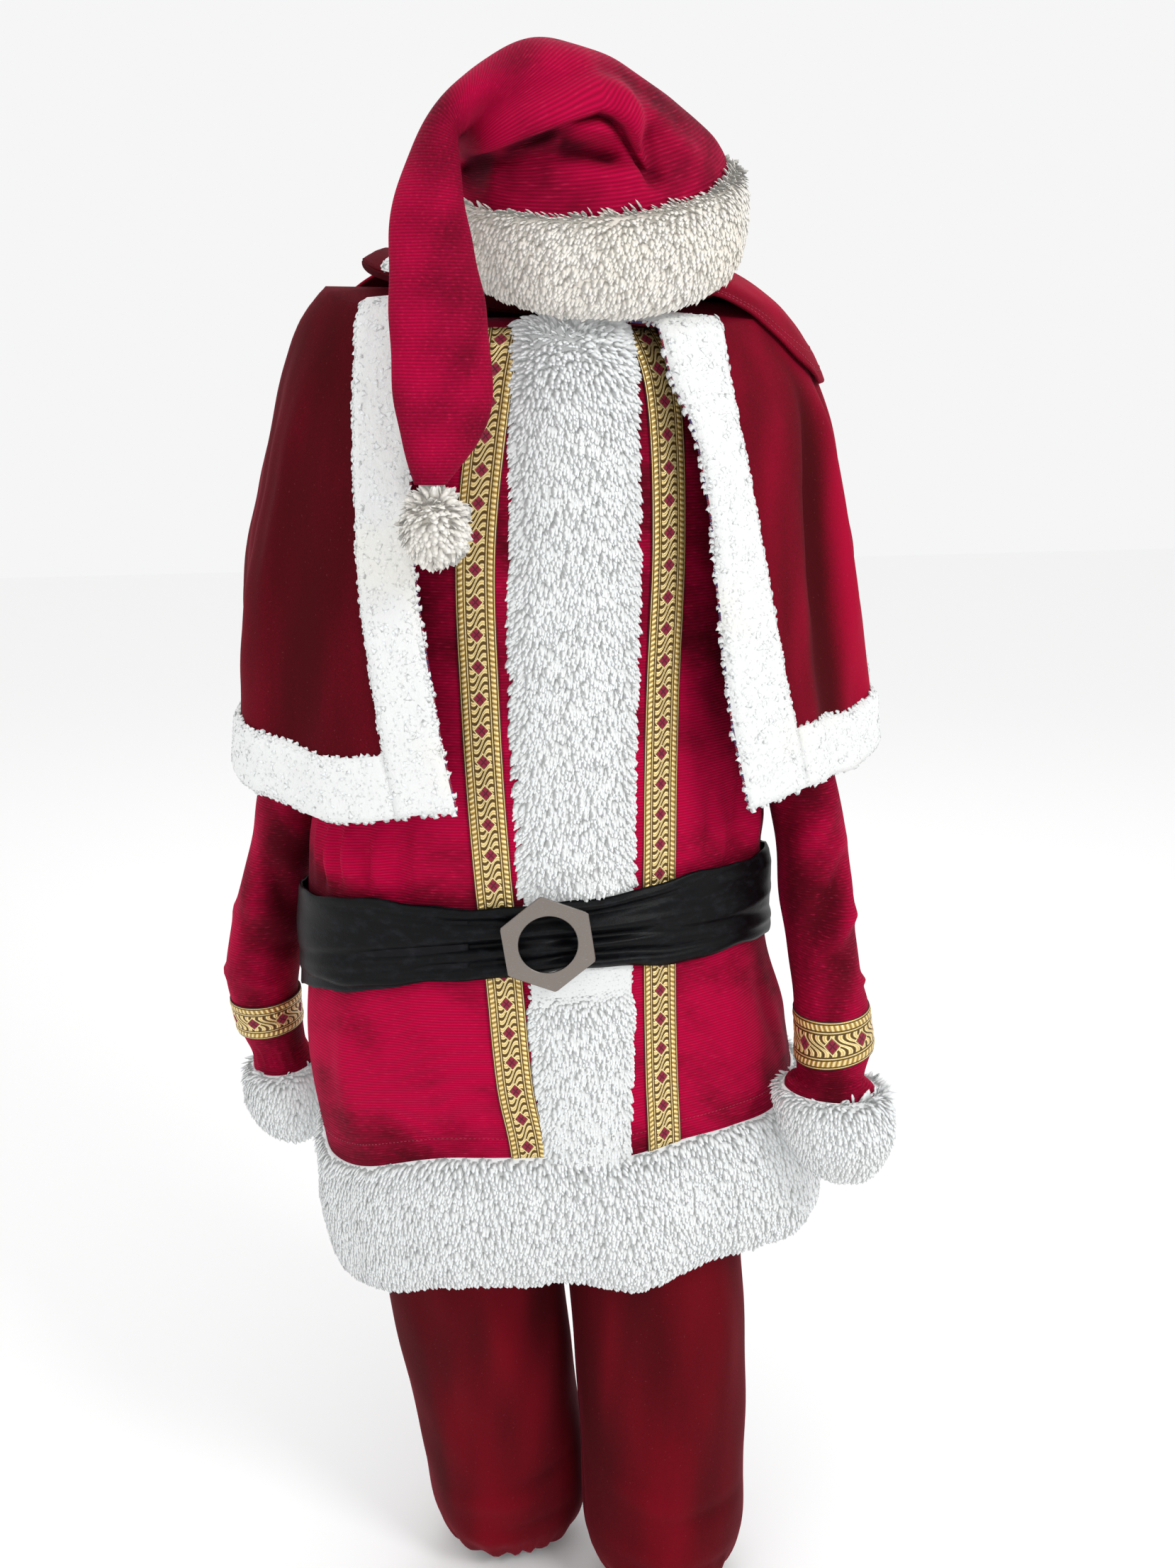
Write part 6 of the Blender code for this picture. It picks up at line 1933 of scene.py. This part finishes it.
# ---- belt
@dataclass
class Belt:
    """The soft belt, gathered through a hexagonal buckle with a round hole."""

    tools: Tools
    body: BodyForm
    middle: float = -0.549
    tilt: float = 0.008
    half: float = 0.041
    leather: float = 0.0022
    under: float = 0.0045
    gather_at: float = -0.14
    buckle: tuple[float, float, float] = (-0.032, -0.1625, -0.532)
    radius: float = 0.0455
    hole: float = 0.0265
    thick: float = 0.0028
    turn: float = math.radians(-8.5)
    yaw: float = math.radians(-6.0)

    def height(self, angle: Array) -> tuple[Array, Array]:
        """The belt's middle and half width at an angle."""
        gather = hill(turn(angle, self.gather_at), 0.75)
        rise = smooth(np.cos(angle), -0.2, 1.0)
        return self.middle + 0.018 * rise + self.tilt * np.sin(angle), self.half * (1.0 - 0.24 * gather)

    def lay(self, angles: Array, shares: Array, drop: Array | float = 0.0) -> Cloth:
        """Lay the band on the jacket's smooth form; shares run from its top edge to its bottom one."""
        middle, half = self.height(angles)
        z = (middle + half)[None, :] - 2.0 * half[None, :] * shares[:, None] - drop
        place = BodyForm.table.place_of(z)
        _, centre, wide, front, back = BodyForm.table.at(place)
        x, y = oval(np.broadcast_to(angles, z.shape), wide, front, back)
        edge = 2.0 * shares[:, None] - 1.0
        curl = np.sin(angles * 9.0 + 0.7 * edge)[...] * 0.0016 + np.sin(angles * 23.0 + 2.0 * edge) * 0.0007
        points = np.stack([centre + x, y, z + curl * edge**2 * np.sign(edge)], axis=-1)
        return Cloth(points, facing(points, False, np.stack([x, y, np.zeros_like(x)], axis=-1)))

    def build(self) -> None:
        """Make the strap, its second layer and the buckle."""
        angles = all_round(420)
        shares = np.linspace(0.0, 1.0, 30)
        strap = self.lay(angles, shares)
        strap.closed = True
        over = self.under + self.leather + 0.001
        outside = over + self.leather + self.creased(angles, shares)
        strap_moved = strap.moved(outside)
        piece = show(strap_moved.shell("belt_strap_leather", -self.leather, 0.0), BELT_LEATHER, "black_leather",
                     "belt_strap")
        declare(piece, strap_moved, Held.STRETCHED)
        step = 2.0 * math.pi / 32.0
        tail_angles = np.linspace(-9.0 * step, -2.0 * step, 80)
        fall = 0.017 * smooth(-2.0 * step - tail_angles, 0.0, 7.0 * step)
        tail = self.lay(tail_angles, shares, fall[None, :])
        tail = tail.moved(self.under - 0.0004)
        piece = show(tail.shell("belt_tail_leather", 0.0, self.leather), BACKING_LEATHER, "black_leather", "belt_tail")
        declare(piece, tail, Held.STRETCHED)
        self.build_buckle()

    def creased(self, angles: Array, shares: Array) -> Array:
        """The strap's creases, drawn together at the buckle, and its swell through the buckle's hole."""
        away = turn(angles, self.gather_at + 0.02)[None, :] * 0.16
        across = shares[:, None] - 0.5
        near = np.exp(-((away / 0.075) ** 2))
        total = np.zeros((len(shares), len(angles)))
        for index, (place, reach, depth, slope) in enumerate((
                (0.02, 0.17, -0.0078, 0.9), (-0.26, 0.13, -0.006, -0.8), (0.28, 0.14, -0.0062, 0.5),
                (-0.12, 0.1, 0.0044, 0.6), (0.15, 0.11, 0.0046, -0.5), (-0.4, 0.1, 0.0036, 0.3),
                (0.42, 0.12, 0.0036, -0.3))):
            for way in (-1.0, 1.0):
                line = place + slope * way * 0.9 * away * (1.0 + 2.0 * away * way)
                side = smooth(away * way, -0.01, 0.02)
                fade = np.exp(-((away / (reach * (1.0 + 0.15 * index * way))) ** 2))
                total += depth * np.exp(-(((across - line) / 0.055) ** 2)) * fade * side
        bulge = np.exp(-((away / 0.02) ** 2)) * np.exp(-((across / 0.28) ** 2)) * 0.003
        wrinkle = np.sin(across * 34.0 + away * 30.0) * 0.0006 * np.exp(-((away / 0.03) ** 2))
        slow = np.sin(away * 41.0 + across * 5.0) * 0.0008 + np.sin(away * 23.0 - across * 7.0 + 1.0) * 0.0009
        roll = -0.0016 * smooth(np.abs(across), 0.44, 0.5)
        return total + bulge + wrinkle + slow * (1.0 - near) + roll

    def build_buckle(self) -> None:
        """The buckle: a bevelled hexagonal plate round a round hole."""
        rings = []
        half, bevel = self.thick / 2.0, 0.0006
        count = 96
        around = all_round(count)
        hexagon = self.radius * math.cos(math.pi / 6.0)
        to_side = (around - self.turn) % (math.pi / 3.0) - math.pi / 6.0
        outer = hexagon / np.cos(to_side)
        for radius, deep in ((outer - bevel, -half), (outer, -half + bevel), (outer, half - bevel),
                             (outer - bevel, half), (np.full(count, self.hole + bevel), half),
                             (np.full(count, self.hole), half - bevel), (np.full(count, self.hole), -half + bevel),
                             (np.full(count, self.hole + bevel), -half)):
            rings.append(np.stack([np.sin(around) * radius, np.full(count, deep), np.cos(around) * radius], axis=-1))
        points = np.array(rings).reshape(-1, 3)
        swing = Matrix.Rotation(self.yaw, 3, "Z")
        points = points @ np.array(swing).T + np.array(self.buckle)
        total = len(rings)
        r, c = np.meshgrid(np.arange(total), np.arange(count), indexing="ij")
        d, s = (c + 1) % count, (r + 1) % total
        faces = np.stack([r * count + c, r * count + d, s * count + d, s * count + c], axis=-1).reshape(-1, 4)
        piece = mesh_object("buckle_plate", points, faces)
        made = bmesh.new()
        made.from_mesh(piece.data)
        bmesh.ops.recalc_face_normals(made, faces=made.faces)
        made.to_mesh(piece.data)
        made.free()
        piece.data.set_sharp_from_angle(angle=math.radians(28.0))
        show(piece, NICKEL, "nickel", "buckle")


# ---- studio
@dataclass
class Studio:
    """The floor, the lights and the camera."""

    place: tuple[float, float, float] = (-0.26, -1.402, -0.048)
    turned: float = math.radians(-12.0)
    pitch: float = math.radians(15.0)
    lens: float = 35.0

    def build(self) -> None:
        """Make them all."""
        self.build_floor()
        self.build_lights()
        self.build_camera()

    def build_floor(self) -> None:
        """A wide pale floor just under the trousers."""
        low = CAD_BOX[0][2] - 0.012
        size = 9.0
        points = np.array([(-size, -size, low), (size, -size, low), (size, size, low), (-size, size, low)])
        floor = mesh_object("studio_floor", points, np.array([[0, 1, 2, 3]]))
        floor.data.materials.append(FLOOR.made())

    def build_lights(self) -> None:
        """An even pale surround, a broad key and a fill."""
        world = bpy.data.worlds.new("studio_surround")
        bpy.context.scene.world = world
        world.use_nodes = True
        world.node_tree.nodes["Background"].inputs["Color"].default_value = (1.0, 1.0, 1.0, 1.0)
        world.node_tree.nodes["Background"].inputs["Strength"].default_value = 0.92
        bpy.context.scene.view_settings.view_transform = "Standard"
        for name, power, size, spot, aim in (("key", 34.0, 0.9, (1.5, -2.2, 1.3), (0.0, 0.0, -0.4)),
                                             ("fill", 8.0, 1.8, (-2.1, -1.6, 0.2), (0.0, 0.0, -0.6)),
                                             ("back", 12.0, 1.6, (0.6, 2.2, 1.6), (0.0, 0.0, -0.4))):
            data = bpy.data.lights.new(name + "_light", "AREA")
            data.energy = power
            data.size = size
            lamp = placed(name + "_light", data)
            lamp.location = spot
            lamp.rotation_euler = (Vector(aim) - Vector(spot)).to_track_quat("-Z", "Y").to_euler()

    def build_camera(self) -> None:
        """A camera a little above and to one side, looking down at the suit."""
        data = bpy.data.cameras.new("studio_camera")
        data.lens = self.lens
        data.clip_start = 0.05
        camera = placed("studio_camera", data)
        right = Vector((math.cos(self.turned), math.sin(self.turned), 0.0))
        level = Vector((-math.sin(self.turned), math.cos(self.turned), 0.0))
        ahead = level * math.cos(self.pitch) - Vector((0.0, 0.0, 1.0)) * math.sin(self.pitch)
        up = right.cross(ahead)
        camera.matrix_world = Matrix.Translation(self.place) @ Matrix((right, up, -ahead)).transposed().to_4x4()
        bpy.context.scene.camera = camera


def main() -> None:
    """Build the suit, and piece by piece."""
    logging.basicConfig(level=logging.INFO, format="%(message)s")
    tools = Tools()
    jacket = Jacket(tools)
    jacket.build()
    Sleeve(tools, "left", 1.0, SLEEVE_LEFT, SLEEVE_CREASES).build()
    Sleeve(tools, "right", -1.0, SLEEVE_RIGHT, SLEEVE_CREASES).build()
    Cape(tools).build()
    Hat(tools).build()
    Trousers(tools).build()
    Belt(tools, jacket.form).build()
    tools.furrier.done()
    Studio().build()
    bpy.context.view_layer.update()


if __name__ == "__main__":
    main()
